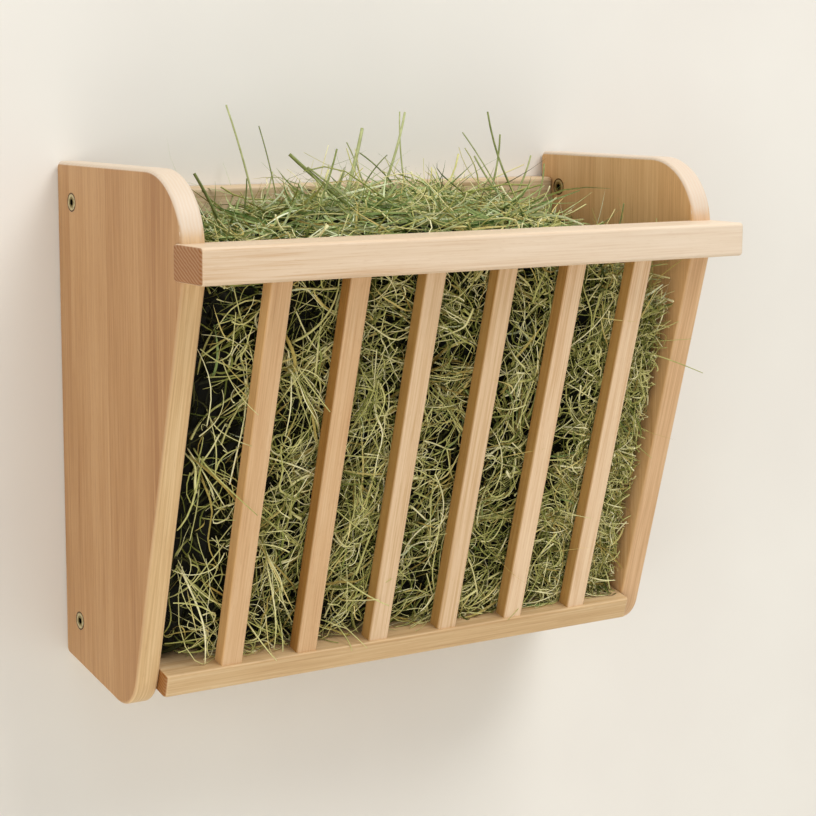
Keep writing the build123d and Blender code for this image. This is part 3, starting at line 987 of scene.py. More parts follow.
@dataclass
class HayHeap:
    """The loose hay: its surface, the blades that lie on it and the wisps that stand out of it."""

    space: RackSpace = field(default_factory=RackSpace)
    seed: int = 41
    left_height: float = 266.0
    crown_height: float = 294.0
    right_crown: float = 266.0
    right_back: float = 280.0  # at the wall against the right panel, from where it slumps forward
    back_pile: float = 5.0  # how much higher the hay lies against the back rail, right of the middle
    hollow_start: float = 145.0  # from here to the right panel the front falls back
    hollow_depth: float = 9.0

    def __post_init__(self) -> None:
        """Starts the random source and the empty batches."""
        self.rng = np.random.default_rng(self.seed)
        self.batches = {
            # near-black blades deep in the heap: painted shade for its shadowed inside
            "inner": GrassBatch(
                "hay_painted_shade_blades",
                DriedGrass("dried_grass_painted_shade", "#14150A", "#2B2C11", "#4C4B22"),
            ),
            # olive blades: their own colour, darkened partly as painted shade, since most of them lie in the
            # deeper main layer
            "green": GrassBatch(
                "hay_green_blades",
                DriedGrass("dried_grass_green", "#3F4719", "#777B37", "#B6B26B"),
            ),
            "fresh": GrassBatch(
                "hay_fresh_blades",
                DriedGrass("dried_grass_fresh", "#526C32", "#A4B471", "#ECEFCB"),
            ),
            "straw": GrassBatch(
                "hay_straw_blades",
                DriedGrass("dried_grass_straw", "#7F6C33", "#B7A45A", "#DFD08C"),
            ),
            "pale": GrassBatch(
                "hay_pale_wires",
                DriedGrass("dried_grass_pale", "#A3A358", "#D8D38E", "#FBF4C6"),
                rounded=True,
            ),
            "curl": GrassBatch(
                "hay_pale_curls",
                DriedGrass("dried_grass_curls", "#A3A358", "#D8D38E", "#FBF4C6"),
                rounded=True,
            ),
            "stem": GrassBatch(
                "hay_round_stems",
                DriedGrass("dried_grass_stems", "#848D42", "#BBB970", "#E4DCA0", roughness=0.5),
                rounded=True,
            ),
            "tall": GrassBatch(
                "hay_tall_stems",
                DriedGrass("dried_grass_stalks", "#596231", "#879052", "#C6CA94", roughness=0.5),
                rounded=True,
                tip_share=0.75,
            ),
        }

    def hollow(self, x: np.ndarray) -> np.ndarray:
        """How far the front of the hay lies back from the slats.

        Args:
            x: Places along the wall.

        Returns:
            The distances.
        """
        share = np.clip((x - self.hollow_start) / (self.space.half_width - self.hollow_start), 0, 1)
        return self.hollow_depth * share

    def top(self, x: np.ndarray, y: np.ndarray) -> np.ndarray:
        """Height of the heap's top.

        Args:
            x: Places along the wall.
            y: Distances from the wall.

        Returns:
            The heights.
        """
        lumps = 3.0 * np.sin(x / 17.0) * np.cos(y / 13.0)
        side = np.where(x < 0, self.left_height, self.right_crown)
        crown = self.crown_height - (self.crown_height - side) * (x / self.space.half_width) ** 2
        across = (y + 78.0) / 80.0
        heap = crown - 17.0 * across**2
        middle = np.exp(-(((x - 75.0) / 75.0) ** 2))
        heap = heap + self.back_pile * middle * np.clip((y + 78.0) / 50.0, 0.0, 1.0)
        slump = self.right_back + 0.46 * (y + 20.0)
        share = np.clip((x - 80.0) / (self.space.half_width - 85.0), 0.0, 1.0)
        share = share * share * (3.0 - 2.0 * share)
        return heap * (1.0 - share) + slump * share + lumps * (1.0 - 0.6 * share)

    def arcs(
        self,
        roots: np.ndarray,
        aim: np.ndarray,
        length: np.ndarray,
        bend: np.ndarray,
        points: int,
        from_root: bool = False,
    ) -> np.ndarray:
        """Draws circular arcs that waver a little.

        Args:
            roots: Middle of each blade, or its lower end.
            aim: Direction of each blade there.
            length: Length of each blade.
            bend: Angle through which each blade turns.
            points: Points along each blade.
            from_root: True where the blades start at their roots.

        Returns:
            Blades by points by 3.
        """
        aim = unit(aim)
        turn = unit(np.cross(aim, self.rng.normal(size=aim.shape)))
        s = np.linspace(0.0 if from_root else -0.5, 1.0 if from_root else 0.5, points)[None, :, None]
        k = np.maximum(bend, 1e-3)[:, None, None]
        reach = length[:, None, None]
        lines = roots[:, None, :] + reach * (
            aim[:, None, :] * np.sin(k * s) / k + turn[:, None, :] * (1 - np.cos(k * s)) / k
        )
        third = np.cross(aim, turn)[:, None, :]
        for strength, turns in ((0.05, 5.0), (0.03, 11.0)):
            waver = self.rng.normal(size=(len(roots), 1, 1)) * strength * reach
            phase = self.rng.uniform(0, 6.28, size=(len(roots), 1, 1))
            lines = lines + third * waver * (np.sin(turns * s + phase) - np.sin(phase))
        return lines

    def scatter(
        self, roots: np.ndarray, aim: np.ndarray, bulge: np.ndarray, lay: "Lay"
    ) -> None:
        """Adds blades at given places, sorted into the kinds with the hay's patches.

        Args:
            roots: Middle of each blade.
            aim: Direction of each blade.
            bulge: How far each may swell out between the slats.
            lay: The layer's kinds and sizes.
        """
        thick = self.fullness(roots[:, 0], roots[:, 2]) ** lay.clumping
        kept = self.rng.uniform(size=len(roots)) < thick
        roots, aim, bulge = roots[kept], aim[kept], bulge[kept]
        count = len(roots)
        length = np.clip(self.rng.lognormal(math.log(lay.length), 0.42, count), 12.0, 165.0)
        bend = np.abs(self.rng.normal(lay.bend * 0.6, lay.bend * 0.6, count))
        kinds = self.rng.choice(len(lay.shares), size=count, p=np.array(list(lay.shares.values())))
        names = list(lay.shares)
        if "straw" in names and "green" in names:
            dry = np.sin(roots[:, 0] / 29.0 + 1.0) + np.cos(roots[:, 2] / 24.0 + roots[:, 0] / 60.0)
            turned = (dry > 0.7) & (kinds == names.index("green")) & (self.rng.uniform(size=count) < 0.25)
            kinds[turned] = names.index("straw")
        for index, name in enumerate(names):
            chosen = kinds == index
            amount = int(chosen.sum())
            if not amount:
                continue
            straight = 0.4 if name == "stem" else 1.0
            stretch = 1.3 if name == "stem" else 1.0
            lines = self.arcs(
                roots[chosen],
                aim[chosen],
                length[chosen] * stretch,
                bend[chosen] * straight,
                lay.points,
                lay.from_root,
            )
            if lay.on_front:
                fall = self.hollow(lines[..., 0]) - self.hollow(roots[chosen][:, None, 0])
                lines[..., 1] += fall * math.cos(self.space.lean)
            lines = self.ended_at_sides(lines)
            free = lines[..., 2].max(axis=1) < lay.ceiling
            if name == "inner":  # the near-black painted-shade blades stay under the top of the heap and behind its front
                cover = self.top(lines[..., 0], lines[..., 1]) - lines[..., 2]
                back = self.space.behind_slats(lines) - self.hollow(lines[..., 0])
                free &= (cover.min(axis=1) > 1.0) & (back.min(axis=1) > 3.0)
            widths = np.clip(self.rng.lognormal(math.log(lay.width), 0.32, amount), 0.4, 2.4)
            tones = self.rng.uniform(0, 1, amount)
            lines = self.settle(lines[free], bulge[chosen][free])
            self.batches[name].add(lines, widths[free], tones[free])

    def ended_at_sides(self, lines: np.ndarray) -> np.ndarray:
        """Ends blades at the side panels, and some of them a little short of the right one.

        Args:
            lines: Blades by points by 3.

        Returns:
            The blades; the points past an end lie on it.
        """
        limit = self.space.half_width - 1.0
        sooner = self.rng.exponential(4.0, len(lines))
        middle = lines.shape[1] // 2
        past = (lines[..., 0] > limit - sooner[:, None]) | (lines[..., 0] < -limit)
        for first, last, step in ((middle, lines.shape[1], 1), (middle - 1, -1, -1)):
            ended = np.zeros(len(lines), dtype=bool)
            for k in range(first, last, step):
                ended |= past[:, k]
                lines[ended, k] = lines[ended, k - step]
        return lines

    def fullness(self, x: np.ndarray, height: np.ndarray) -> np.ndarray:
        """How thickly the hay lies: dark hollows show where it is loose, most of all on the left.

        Args:
            x: Places along the wall.
            height: Heights.

        Returns:
            Shares from 0 to 1.
        """
        cloud = np.sin(x / 12.0 + 1.6 * np.sin(height / 21.0)) * np.cos(
            height / 14.0 + np.sin(x / 17.0)
        )
        loose = np.clip(0.54 + 0.72 * cloud, 0.05, 1.0)
        left = np.clip((x + 178.0) / 84.0, 0.0, 1.0)
        return loose * (0.05 + 0.95 * left**1.2)

    def settle(self, lines: np.ndarray, bulge: np.ndarray) -> np.ndarray:
        """Keeps blades out of the wood and smooths the places where they were pushed.

        Args:
            lines: Blades by points by 3.
            bulge: How far each may swell out between the slats.

        Returns:
            The settled blades.
        """
        lines = self.space.keep_inside(lines, bulge)
        for _ in range(2):
            inner = (lines[:, :-2] + lines[:, 2:]) / 4 + lines[:, 1:-1] / 2
            lines[:, 1:-1] = inner
            lines = self.space.keep_inside(lines, bulge)
        return lines

    def front_places(
        self, count: int, shallow: float, spread: float, from_x: float = -182.0
    ) -> tuple[np.ndarray, np.ndarray, np.ndarray]:
        """Picks places on the front of the heap.

        Args:
            count: How many.
            shallow: Least distance behind the backs of the slats.
            spread: Mean of the further depth.
            from_x: Where along the wall they begin.

        Returns:
            The places, and the place along the wall and the height of each.
        """
        x = self.rng.uniform(from_x, 182.0, count)
        upper = np.minimum(262.0, self.top(x, self.space.rail_back + 14.0 + self.hollow(x)) - 4.0)
        height = 8.0 + self.rng.uniform(0, 1, count) * (upper - 8.0)
        depth = shallow + self.rng.exponential(spread, count) + self.hollow(x)
        return self.space.on_front(x, height, depth), x, height

    def front_aim(self, x: np.ndarray, height: np.ndarray, spread: float, out: float) -> np.ndarray:
        """Picks directions that lie mostly in the front of the heap.

        Args:
            x: Places along the wall.
            height: Heights.
            spread: Spread of the angle round the local lie of the hay.
            out: Spread of the tilt out of the surface.

        Returns:
            One direction for each place.
        """
        n = len(x)
        angle = self.clump_angle(x, height) + self.rng.normal(0.0, spread, n)
        c, s = math.cos(self.space.lean), math.sin(self.space.lean)
        slope = np.array([0.0, -s, c])
        across = np.array([1.0, 0.0, 0.0])
        outward = np.array([0.0, -c, -s])
        tilt = self.rng.normal(0.0, out, n)[:, None]
        return across * np.cos(angle)[:, None] + slope * np.sin(angle)[:, None] + outward * tilt

    def cover_front(self) -> None:
        """Lays blades behind the slats: a shaded inner layer, the main one and bright wires."""
        main = {"green": 0.62, "fresh": 0.12, "straw": 0.10, "stem": 0.16}
        outer = {"green": 0.36, "straw": 0.08, "pale": 0.38, "stem": 0.18}
        curls = {"green": 0.32, "straw": 0.06, "curl": 0.62}
        curly = {"green": 0.32, "straw": 0.06, "pale": 0.62}
        for lay in (
            # the first two layers are mostly near-black blades: painted shade deep behind the slats
            Lay(2000, 7.0, 3.0, {"inner": 1.0}, 60.0, 1.4, 1.2),
            Lay(2600, 4.0, 4.0, {"inner": 0.88, "green": 0.12}, 44.0, 3.6, 0.85, points=14),
            Lay(2000, 1.5, 4.5, main, 50.0, 2.4, 1.00, clumping=1.0, points=12, ceiling=300.0),
            Lay(1300, -3.0, 4.0, outer, 52.0, 2.0, 1.00, clumping=1.0, ceiling=300.0),
            Lay(3800, -2.5, 4.5, curls, 40.0, 5.0, 0.84, clumping=0.9, points=14, ceiling=300.0),
            Lay(900, -2.0, 5.0, curly, 32.0, 4.5, 0.84, points=16, from_x=118.0),
            Lay(260, -2.0, 5.0, curly, 26.0, 4.0, 0.90, points=14, from_x=145.0),
            Lay(400, 0.0, 4.0, main, 36.0, 3.4, 1.00, points=12, from_x=124.0),
        ):
            lay = replace(lay, on_front=True)
            roots, x, height = self.front_places(lay.count, lay.shallow, lay.spread, lay.from_x)
            aim = self.front_aim(x, height, 0.95, 0.34)
            bulge = np.clip(self.rng.exponential(3.4, lay.count), 0.0, 9.5)
            self.scatter(roots, aim, bulge, lay)
        for _ in range(110):
            self.tuft()
        for knot, angle, spread, count, length in (
            # fans of dry stems: knot, lie in degrees from +X, spread in radians, stems, their length
            ((-169, -133, 141), -62.0, 0.40, 12, 50.0),
            ((-169, -133, 141), 100.0, 0.60, 4, 26.0),
            ((-115, -150, 198), -64.0, 0.30, 13, 46.0),
            ((-115, -150, 198), 104.0, 0.45, 10, 28.0),
            ((57, -145, 176), 0.0, 3.0, 15, 22.0),
            ((-170, -114, 68), -58.0, 0.20, 7, 58.0),
            ((-120, -119, 85), -66.0, 0.16, 9, 56.0),
            ((99, -157, 228), 0.0, 3.0, 10, 18.0),
            ((151, -150, 222), 25.0, 0.60, 12, 26.0),
            ((160, -136, 165), -35.0, 0.60, 12, 26.0),
        ):
            self.fan(np.array(knot, float), math.radians(angle), spread, count, length)

    def fan(
        self, knot: np.ndarray, angle: float, spread: float, count: int, length: float
    ) -> None:
        """Spreads bright dry stems from a knot on the front of the heap.

        Args:
            knot: Where they part.
            angle: Their mean lie on the front, from +X.
            spread: Spread of that angle.
            count: How many.
            length: Their usual length.
        """
        c, s = math.cos(self.space.lean), math.sin(self.space.lean)
        angles = angle + self.rng.normal(0.0, spread, count)
        aim = np.stack(
            [
                np.cos(angles),
                -s * np.sin(angles) - c * self.rng.uniform(0.15, 0.40, count),
                c * np.sin(angles),
            ],
            axis=-1,
        )
        lay = Lay(
            count,
            0.0,
            0.0,
            {"pale": 0.8, "straw": 0.2},
            length,
            0.35,
            1.10,
            from_root=True,
            ceiling=262.0,
            on_front=True,
        )
        inward = np.array([0.0, c, s])
        sunk = inward * 3.5 - aim * self.rng.uniform(4.0, 14.0, (count, 1))  # they cross at the knot
        roots = knot + sunk + self.rng.normal(0.0, 1.0, (count, 3))
        self.scatter(roots, aim, np.full(count, 9.0), lay)

    def tuft(self) -> None:
        """Spreads a bunch of thin stems from one knot, as where a stalk branches."""
        place, x, height = self.front_places(1, 1.0, 2.0)
        count = int(self.rng.integers(9, 21))
        spread = float(self.rng.uniform(0.30, 0.85))
        dry = float(self.rng.uniform(0.1, 0.6))
        aim = self.front_aim(np.repeat(x, count), np.repeat(height, count), 0.0, 0.22)
        turn = self.rng.uniform(-1.0, 1.0)
        across = np.array([1.0, 0.0, 0.0])
        aim = aim + across * (self.rng.normal(0.0, spread, count) + turn)[:, None]
        shares = {"pale": 0.85 * (1.0 - dry), "straw": dry, "green": 0.15 * (1.0 - dry)}
        lay = Lay(
            count,
            0.0,
            0.0,
            shares,
            42.0,
            0.45,
            0.95,
            0.6,
            from_root=True,
            ceiling=262.0,
            on_front=True,
        )
        roots = np.repeat(place, count, axis=0) + self.rng.normal(0, 1.1, (count, 3))
        self.scatter(roots, aim, np.full(count, float(self.rng.uniform(3.0, 9.0))), lay)

    def clump_angle(self, x: np.ndarray, height: np.ndarray) -> np.ndarray:
        """Slowly changing lie of the hay over the front.

        Args:
            x: Places along the wall.
            height: Heights.

        Returns:
            An angle for each place.
        """
        return (
            1.1 * np.sin(x / 31.0 + 0.6)
            + 1.2 * np.cos(height / 37.0 + x / 80.0)
            + 0.8 * np.sin((x + height) / 23.0)
            + 1.0
        )

    def cover_top(self) -> None:
        """Lays blades over the crown, many of them standing up a little."""
        main = {"fresh": 0.60, "green": 0.20, "straw": 0.08, "stem": 0.12}
        outer = {"fresh": 0.58, "pale": 0.24, "straw": 0.05, "stem": 0.13}
        for lay, lift in (
            # near-black blades under the crown: painted shade
            (Lay(1200, 5.0, 3.0, {"inner": 1.0}, 50.0, 1.0, 1.4), 0.05),
            (Lay(1150, 1.5, 3.5, main, 66.0, 1.5, 1.50), 0.16),
            (Lay(1150, -3.0, 3.0, outer, 46.0, 2.8, 1.10, points=13), 0.34),
            (Lay(110, -4.0, 3.0, {"fresh": 1.0}, 40.0, 1.4, 1.2), 0.80),
        ):
            x = self.rng.uniform(-182, 182, lay.count)
            y = self.rng.uniform(-160, -17, lay.count)
            low = np.clip((x - 64.0) / 60.0, 0.0, 1.0)
            kept = self.rng.uniform(size=lay.count) > 0.40 * low
            x, y, low = x[kept], y[kept], low[kept]
            n = len(x)
            sink = lay.shallow + self.rng.exponential(lay.spread, n)
            roots = np.stack([x, y, self.top(x, y) - sink], axis=-1)
            angle = self.rng.uniform(0, 2 * math.pi, n)
            rise = np.abs(self.rng.normal(0.0, lift, n)) * (1.0 - 0.85 * low)
            aim = np.stack([np.cos(angle), np.sin(angle), rise], axis=-1)
            self.scatter(roots, aim, np.zeros(n), lay)

    def cover_back(self) -> None:
        """Lays blades against the wall between the two back rails."""
        back = {"green": 0.52, "straw": 0.16, "pale": 0.16, "stem": 0.16}
        for lay in (
            # near-black blades against the wall: painted shade
            Lay(800, 9.0, 4.0, {"inner": 1.0}, 60.0, 1.1, 1.3, ceiling=275.0),
            Lay(1300, 2.0, 4.0, back, 54.0, 1.4, 1.00, ceiling=275.0),
        ):
            n = lay.count
            x = self.rng.uniform(-182, 182, n)
            height = self.rng.uniform(72, 268, n)
            depth = lay.shallow + self.rng.exponential(lay.spread, n)
            roots = np.stack([x, -depth, height], axis=-1)
            angle = self.rng.uniform(0, math.pi, n)
            aim = np.stack([np.cos(angle), self.rng.normal(0, 0.15, n), np.sin(angle)], axis=-1)
            self.scatter(roots, aim, np.zeros(n), lay)

    def build(self) -> list[bpy.types.Object]:
        """Builds all the hay.

        Returns:
            The pieces, one for each kind of blade, and the dark core.
        """
        self.cover_front()
        self.cover_top()
        self.cover_back()
        self.stand_stems()
        self.loose_wisps()
        pieces = [batch.build(self.rng) for batch in self.batches.values()]
        pieces.append(self.core())
        return pieces

    def stand_stems(self) -> None:
        """Plants the long stems that stand out over the heap."""
        tall = [
            # where it leaves the heap; its tip; sideways bow; width
            ((-107, -100, 268), (-124, -85, 356), 2.0, 1.7),
            ((-77, -70, 280), (-84, -55, 342), 1.5, 1.1),
            ((-132, -110, 262), (-152, -95, 315), 1.5, 2.2),
            ((-32, -116, 280), (-79, -85, 325), -1.5, 2.6),
            ((-36, -116, 282), (-70, -92, 317), 1.0, 1.6),
            ((-45, -118, 281), (-68, -95, 312), -1.0, 1.4),
            ((-40, -82, 284), (-12, -65, 340), 1.0, 2.9),
            ((-10, -72, 282), (28, -55, 350), 3.0, 2.2),
            ((32, -52, 292), (37, -35, 350), -2.0, 1.3),
            ((-84, -112, 274), (-50, -95, 328), 2.0, 1.8),
            ((129, -71, 268), (96, -55, 350), -7.0, 1.5),
            ((88, -64, 286), (114, -45, 334), 3.0, 1.4),
            ((106, -91, 272), (71, -75, 321), -3.0, 1.6),
            ((145, -42, 282), (168, -25, 312), 3.0, 1.3),
            ((100, -62, 276), (141, -45, 319), 4.0, 1.5),
            ((112, -64, 276), (80, -48, 336), 2.0, 1.3),
            ((-11, -72, 288), (-21, -60, 331), 2.0, 1.0),
            ((20, -72, 288), (-11, -60, 324), 3.0, 1.0),
            ((-26, -76, 288), (12, -58, 322), -3.0, 0.9),
            ((-121, -92, 275), (-106, -78, 310), 2.0, 1.0),
            ((-99, -74, 282), (-77, -60, 313), 2.0, 1.0),
            ((170, -104, 262), (172, -111, 288), 1.0, 1.2),
        ]
        star = [
            # bright blades that part from one knot on the crown
            ((-66, -85, 290), (-128, -140, 285), 2.5, 1.6),
            ((-66, -85, 290), (-57, -146, 285), -4.0, 2.0),
            ((-66, -85, 290), (-95, -90, 301), 2.0, 1.3),
            ((-66, -85, 290), (-49, -90, 296), 1.5, 1.3),
            ((-66, -85, 290), (-73, -85, 306), -1.5, 1.2),
            ((-66, -85, 290), (-92, -128, 288), -2.5, 1.4),
            ((-60, -88, 290), (-20, -120, 290), 3.0, 1.8),
            ((-52, -96, 290), (2, -128, 286), 5.0, 1.6),
            ((168, -85, 268), (170, -93, 298), 1.0, 1.8),
        ]
        for name, stems in (("tall", tall), ("fresh", star)):
            for root, tip, bow, width in stems:
                self.batches[name].add(
                    self._bowed(np.array(root, float), np.array(tip, float), bow, 10),
                    np.array([width * 1.15]),
                    self.rng.uniform(0.1, 0.9, 1) if name == "tall" else np.array([0.95]),
                )

    def _bowed(self, root: np.ndarray, tip: np.ndarray, bow: float, points: int) -> np.ndarray:
        """Draws one line from root to tip, bowed sideways in the plane of the wall.

        Args:
            root: Where it leaves the heap.
            tip: Its free end.
            bow: Greatest sideways distance from the straight line.
            points: Points along the line.

        Returns:
            One blade by points by 3.
        """
        t = np.linspace(0, 1, points)[:, None]
        run = tip - root
        sideways = unit(np.array([run[2], 0.0, -run[0]]))
        line = root + run * t + sideways * bow * 4 * t * (1 - t)
        return line[None]

    def loose_wisps(self) -> None:
        """Draws thin stems that come out between the slats and cross in front of them."""
        c, s = math.cos(self.space.lean), math.sin(self.space.lean)
        out = np.array([0.0, -c, -s])
        slope = np.array([0.0, -s, c])
        for _ in range(44):
            gap = int(self.rng.integers(0, self.space.slat_count + 1))
            middle = self.space.gap_middle(gap) + self.rng.normal(0, 3.0)
            height = float(self.rng.uniform(22, 245))
            start = self.space.on_front(
                np.array([middle]), np.array([height]), np.array([6.0])
            )[0]
            reach_x = float(np.clip(self.rng.normal(0, 18.0), -34, 34))
            reach_up = float(np.clip(self.rng.normal(-4.0, 22.0), -40, min(30, 240 - height)))
            reach_out = float(self.rng.uniform(9, 20))
            t = np.linspace(0, 1, 9)[:, None]
            line = (
                start
                + out * (reach_out + 6.0) * t
                + np.array([1.0, 0.0, 0.0]) * reach_x * t**2.2
                + slope * reach_up * t
            )
            kind = "stem" if self.rng.uniform() < 0.4 else "straw"
            self.batches[kind].add(
                line[None],
                self.rng.uniform(0.6, 1.1, 1),
                self.rng.uniform(0.3, 1.0, 1),
            )
        for corners, width in (
            # over the edge of the right panel, and up beside it
            ([(158, -134, 192), (167, -143, 189), (178, -153, 185), (188, -160, 180), (202, -163, 174)], 1.3),
            ([(148, -132, 192), (154, -142, 198), (168, -153, 203), (184, -157, 210)], 1.1),
            ([(150, -134, 208), (159, -145, 219), (169, -152, 227), (181, -156, 231)], 0.9),
            # over the nose of the floor board
            ([(-130, -94, 46), (-126, -106, 37), (-121, -114, 22), (-108, -116, 7)], 1.5),
            ([(-96, -92, 44), (-98, -104, 30), (-101, -112, 19), (-103, -115, 12)], 1.3),
            ([(-57, -88, 30), (-55, -101, 19), (-50, -111, 12), (-50, -113, 4)], 1.1),
            ([(-54, -88, 28), (-51, -100, 20), (-46, -111, 13), (-38, -113, 4)], 1.1),
            # down across slats 1, 2 and 3
            ([(-172, -128, 152), (-168, -134, 141), (-153, -141, 125), (-136, -142, 109)], 1.2),
            ([(-124, -142, 226), (-122, -150, 214), (-110, -153, 193), (-92, -155, 171)], 1.4),
            ([(-64, -100, 62), (-58, -112, 54), (-46, -119, 42), (-27, -122, 33)], 1.6),
        ):
            line = self._curve([np.array(corner, float) for corner in corners], 12)
            self.batches["stem"].add(line[None], np.array([width]), self.rng.uniform(0.4, 0.9, 1))

    @staticmethod
    def _curve(corners: list[np.ndarray], points: int) -> np.ndarray:
        """Draws a Bezier curve.

        Args:
            corners: Its control points.
            points: Points along the curve.

        Returns:
            Points by 3.
        """
        t = np.linspace(0.0, 1.0, points)[:, None]
        last = len(corners) - 1
        return sum(
            math.comb(last, k) * (1 - t) ** (last - k) * t**k * corner
            for k, corner in enumerate(corners)
        )

    def core(self) -> bpy.types.Object:
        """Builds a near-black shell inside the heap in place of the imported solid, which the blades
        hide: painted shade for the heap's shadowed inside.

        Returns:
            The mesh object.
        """
        columns, rows = 56, 44
        xs = np.linspace(-181.0, 181.0, columns)
        rings = []
        for x in xs:
            inset = 10.0 + float(self.hollow(np.array(x)))
            lower = self.space.on_front(np.array([x]), np.array([14.0]), np.array([inset]))[0]
            upper = self.space.on_front(np.array([x]), np.array([246.0]), np.array([inset]))[0]
            crown_y = np.linspace(-158.0 + inset, -20.0, 12)
            crown = [(y, float(self.top(np.array(x), np.array(y))) - 6.0) for y in crown_y]
            upper_height = min(upper[2], crown[0][1] - 2.0)
            share = (upper_height - lower[2]) / (upper[2] - lower[2])
            front = [
                (lower[1] + (upper[1] - lower[1]) * share * k / 17, lower[2] + (upper_height - lower[2]) * k / 17)
                for k in range(18)
            ]
            foot = self.space.floor_height + (-20.0 - self.space.floor_front) * math.tan(self.space.lean)
            back = [(-19.0, crown[-1][1] - (crown[-1][1] - foot - 3.0) * k / 9) for k in range(1, 10)]
            floor = [
                (-19.0 + (lower[1] + 19.0) * k / 5, foot + 3.0 + (lower[2] - foot - 3.0) * k / 5)
                for k in range(1, 5)
            ]
            ring = front + crown + back + floor
            rings.append([(x, y, h) for y, h in ring])
        points = np.array(rings)
        rough = self.rng.normal(0, 1.6, points.shape)
        points += rough * np.array([0.4, 1.0, 1.0])
        count = points.shape[1]
        faces = []
        for column in range(columns - 1):
            for k in range(count):
                a = column * count + k
                b = column * count + (k + 1) % count
                faces.append((a, b, b + count, a + count))
        faces.append(tuple(range(count - 1, -1, -1)))
        last = (columns - 1) * count
        faces.append(tuple(last + k for k in range(count)))
        mesh = bpy.data.meshes.new("hay_painted_shade_core")
        mesh.from_pydata([tuple(p) for p in to_frame(points.reshape(-1, 3))], [], faces)
        mesh.update()
        mesh.materials.append(
            # near-black painted shade
            DriedGrass("shaded_chaff", "#0E0E06", "#1B1B0B", "#2E2D14", patch_mm=9.0).material()
        )
        piece = bpy.data.objects.new("hay_painted_shade_core", mesh)
        bpy.context.scene.collection.objects.link(piece)
        return piece


class Woodwork:
    """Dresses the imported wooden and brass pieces."""

    def finishes(self) -> dict[str, OiledRubberwood | TurnedBrass]:
        """Chooses a finish for each node.

        Returns:
            The finish of each node, by name.
        """
        left = dict(light="#DFBF90", middle="#D0AC7B", dark="#BC9466")
        # the right panel is paler, partly its own colour and partly painted light on its inner face
        right = dict(light="#E2C096", middle="#D8B085", dark="#C69B6D")
        # the panels' pale end colour on their upward faces is partly end grain, partly painted sheen and top
        # light
        upright = dict(end_grain_and_top_sheen="#DDCCB8", ring_strength=0.22, end_start=0.05, stave_mm=52.0)
        rail = dict(light="#E0C8AC", middle="#D8BD9D", dark="#C6A078")
        back = dict(light="#DBC2A0", middle="#CEB490", dark="#B79A72")
        level_end = dict(end_grain_and_top_sheen="#884E10", ring_strength=0.26, end_start=0.45)
        chosen: dict[str, OiledRubberwood | TurnedBrass] = {
            "left_side_panel": OiledRubberwood(
                # side: painted shade on the panel's faces towards -X and +X
                "left_panel_rubberwood", side="#D8C6B9", **left, **upright
            ),
            "right_side_panel": OiledRubberwood(
                # side: nearly white, so its inner face keeps painted light instead of painted shade
                "right_panel_rubberwood", side="#FFF8E4", seed=4.6, **right, **upright
            ),
            "front_rail": OiledRubberwood(
                "front_rail_rubberwood",
                grain=Grain.ALONG_WALL,
                seed=1.7,
                # paler towards +X: painted light from the right
                painted_light_towards_x="#F1E3D0",
                **rail,
                **level_end,
            ),
            "upper_back_rail": OiledRubberwood(
                "upper_back_rail_rubberwood", grain=Grain.ALONG_WALL, seed=5.2, **back
            ),
            "lower_back_rail": OiledRubberwood(
                "lower_back_rail_rubberwood", grain=Grain.ALONG_WALL, seed=6.4, **back
            ),
            "floor_board": OiledRubberwood(
                "floor_board_rubberwood",
                grain=Grain.ALONG_WALL,
                seed=2.3,
                light="#D7BA8F",
                middle="#CCAA7C",
                dark="#B99365",
                **level_end,
            ),
            "panel_bolts": TurnedBrass("bolt_brass"),
            "panel_bolt_sleeves": TurnedBrass("sleeve_brass", face_mm=184.0, outward=False),
            "floor_screws": TurnedBrass("screw_brass", centre_mm=(-21.5, -144.2)),
        }
        # the slats get paler in pairs from left to right
        boards = [
            dict(light="#DDB98F", middle="#D3AB7E", dark="#C09366"),
            dict(light="#E7C9A5", middle="#DDBC95", dark="#CAA475"),
            dict(light="#EDD0AC", middle="#E4C39D", dark="#D1A97C"),
        ]
        for number in range(1, 7):
            chosen[f"slat_{number}"] = OiledRubberwood(
                f"slat_{number}_rubberwood",
                grain=Grain.ALONG_SLAT,
                seed=8.0 + number * 1.37,
                # side: painted shade on the slats' sides; slat 1's is kept almost white, as painted light from
                # the gap on its left
                side="#FBF2D8" if number == 1 else "#C4AE7C",
                **boards[(number - 1) // 2],
            )
        for name in (
            "slat_foot_dowels",
            "slat_head_dowels",
            "front_rail_dowels",
            "back_rail_dowels",
            "floor_board_dowels",
        ):
            chosen[name] = OiledRubberwood(f"{name}_rubberwood", roughness=0.65)
        return chosen

    def dress(self) -> None:
        """Puts the finishes on the nodes."""
        for name, finish in self.finishes().items():
            piece = frame["nodes"][name]
            piece = piece if isinstance(piece, bpy.types.Object) else bpy.data.objects[name]
            material = finish.material()
            if not piece.material_slots:
                piece.data.materials.append(material)
            for slot in piece.material_slots:
                slot.material = material
            LOG.info("dressed %s", name)


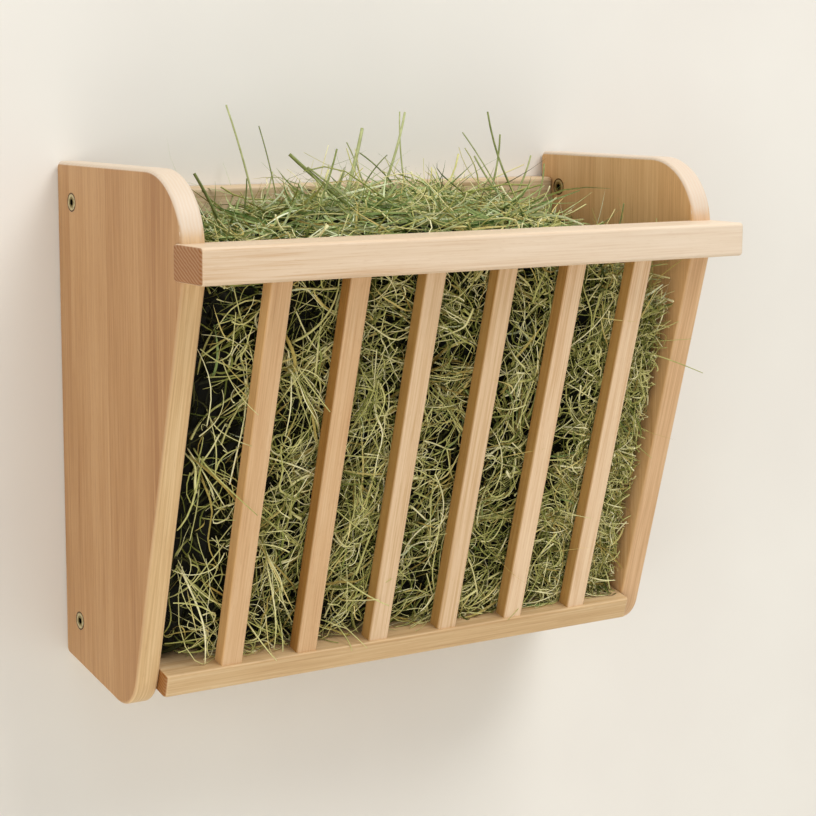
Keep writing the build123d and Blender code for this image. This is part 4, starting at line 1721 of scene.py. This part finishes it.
@dataclass
class PhotoCamera:
    """The camera that took the photograph, in the frame."""

    place_mm: tuple[float, float, float] = (-754.4, -1239.7, 375.0)  # height from the panels' foot
    heading: float = 33.56  # degrees from straight at the wall towards +X
    pitch: float = -9.01
    roll: float = 0.25
    focal_px: float = 2103.4
    image_px: float = 816.0

    def build(self) -> bpy.types.Object:
        """Makes the camera and sets it in the scene.

        Returns:
            The camera object.
        """
        data = bpy.data.cameras.new("photo_camera")
        data.sensor_width = 36.0
        data.lens = self.focal_px * 36.0 / self.image_px
        data.clip_end = 50.0
        camera = bpy.data.objects.new("photo_camera", data)
        turn = (
            Matrix.Rotation(math.radians(-self.heading), 4, "Z")
            @ Matrix.Rotation(math.radians(90.0 + self.pitch), 4, "X")
            @ Matrix.Rotation(math.radians(self.roll), 4, "Z")
        )
        x, y, height = self.place_mm
        place = Vector((x, y, height - ORIGIN_HEIGHT)) * MM
        camera.matrix_world = Matrix.Translation(place) @ turn
        bpy.context.scene.collection.objects.link(camera)
        bpy.context.scene.camera = camera
        return camera


@dataclass
class Studio:
    """The painted wall, the floor far below and the soft lamps."""

    wall_half: float = 3.0
    floor_z: float = -1.1
    wall_y: float = 0.0006

    def build(self) -> None:
        """Builds the stage and the light."""
        paint = MattWallPaint().material()
        half = self.wall_half
        wall = self._sheet(
            "painted_wall",
            [
                (-half, self.wall_y, self.floor_z),
                (half, self.wall_y, self.floor_z),
                (half, self.wall_y, 3.0),
                (-half, self.wall_y, 3.0),
            ],
            paint,
        )
        floor = self._sheet(
            "pale_floor",
            [
                (-half, -5.0, self.floor_z),
                (half, -5.0, self.floor_z),
                (half, self.wall_y, self.floor_z),
                (-half, self.wall_y, self.floor_z),
            ],
            paint,
        )
        self._lamp("key_window", (1.35, -1.95, 3.2), 2.3, 113.0, "#FAFBFC")
        self._lamp("fill_left", (-2.3, -1.5, 0.2), 1.8, 26.0, "#FBFAFA")
        world = bpy.data.worlds.new("soft_room")
        world.use_nodes = True
        world.node_tree.nodes["Background"].inputs["Color"].default_value = linear("#FAFBFC")
        world.node_tree.nodes["Background"].inputs["Strength"].default_value = 0.51
        bpy.context.scene.world = world
        bpy.context.scene.view_settings.view_transform = "Standard"

    @staticmethod
    def _sheet(
        name: str, corners: list[tuple[float, float, float]], material: bpy.types.Material
    ) -> bpy.types.Object:
        """Makes one flat rectangle.

        Args:
            name: The object's name.
            corners: Its four corners.
            material: Its paint.

        Returns:
            The object.
        """
        mesh = bpy.data.meshes.new(name)
        mesh.from_pydata(corners, [], [(0, 1, 2, 3)])
        mesh.update()
        mesh.materials.append(material)
        sheet = bpy.data.objects.new(name, mesh)
        bpy.context.scene.collection.objects.link(sheet)
        return sheet

    @staticmethod
    def _lamp(
        name: str, place: tuple[float, float, float], size: float, power: float, colour: str
    ) -> None:
        """Makes a soft square lamp that faces the rack.

        Args:
            name: The lamp's name.
            place: Where it stands.
            size: Its side in metres.
            power: Its power in watts.
            colour: Its sRGB colour.
        """
        data = bpy.data.lights.new(name, "AREA")
        data.shape = "SQUARE"
        data.size = size
        data.energy = power
        data.color = linear(colour)[:3]
        lamp = bpy.data.objects.new(name, data)
        lamp.location = place
        lamp.rotation_euler = (-Vector(place)).to_track_quat("-Z", "Y").to_euler()
        bpy.context.scene.collection.objects.link(lamp)


def main() -> None:
    """Builds the scene in order."""
    logging.basicConfig(level=logging.INFO, format="%(name)s: %(message)s")
    PhotoCamera().build()
    Studio().build()
    LOG.info("camera and studio ready")
    Woodwork().dress()
    heap = HayHeap()
    for piece in heap.build():
        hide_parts("hay_fill", "hay_stems")
        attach(piece, "root")
        LOG.info("built %s with %d faces", piece.name, len(piece.data.polygons))
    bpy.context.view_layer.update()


if __name__ == "__main__":
    main()
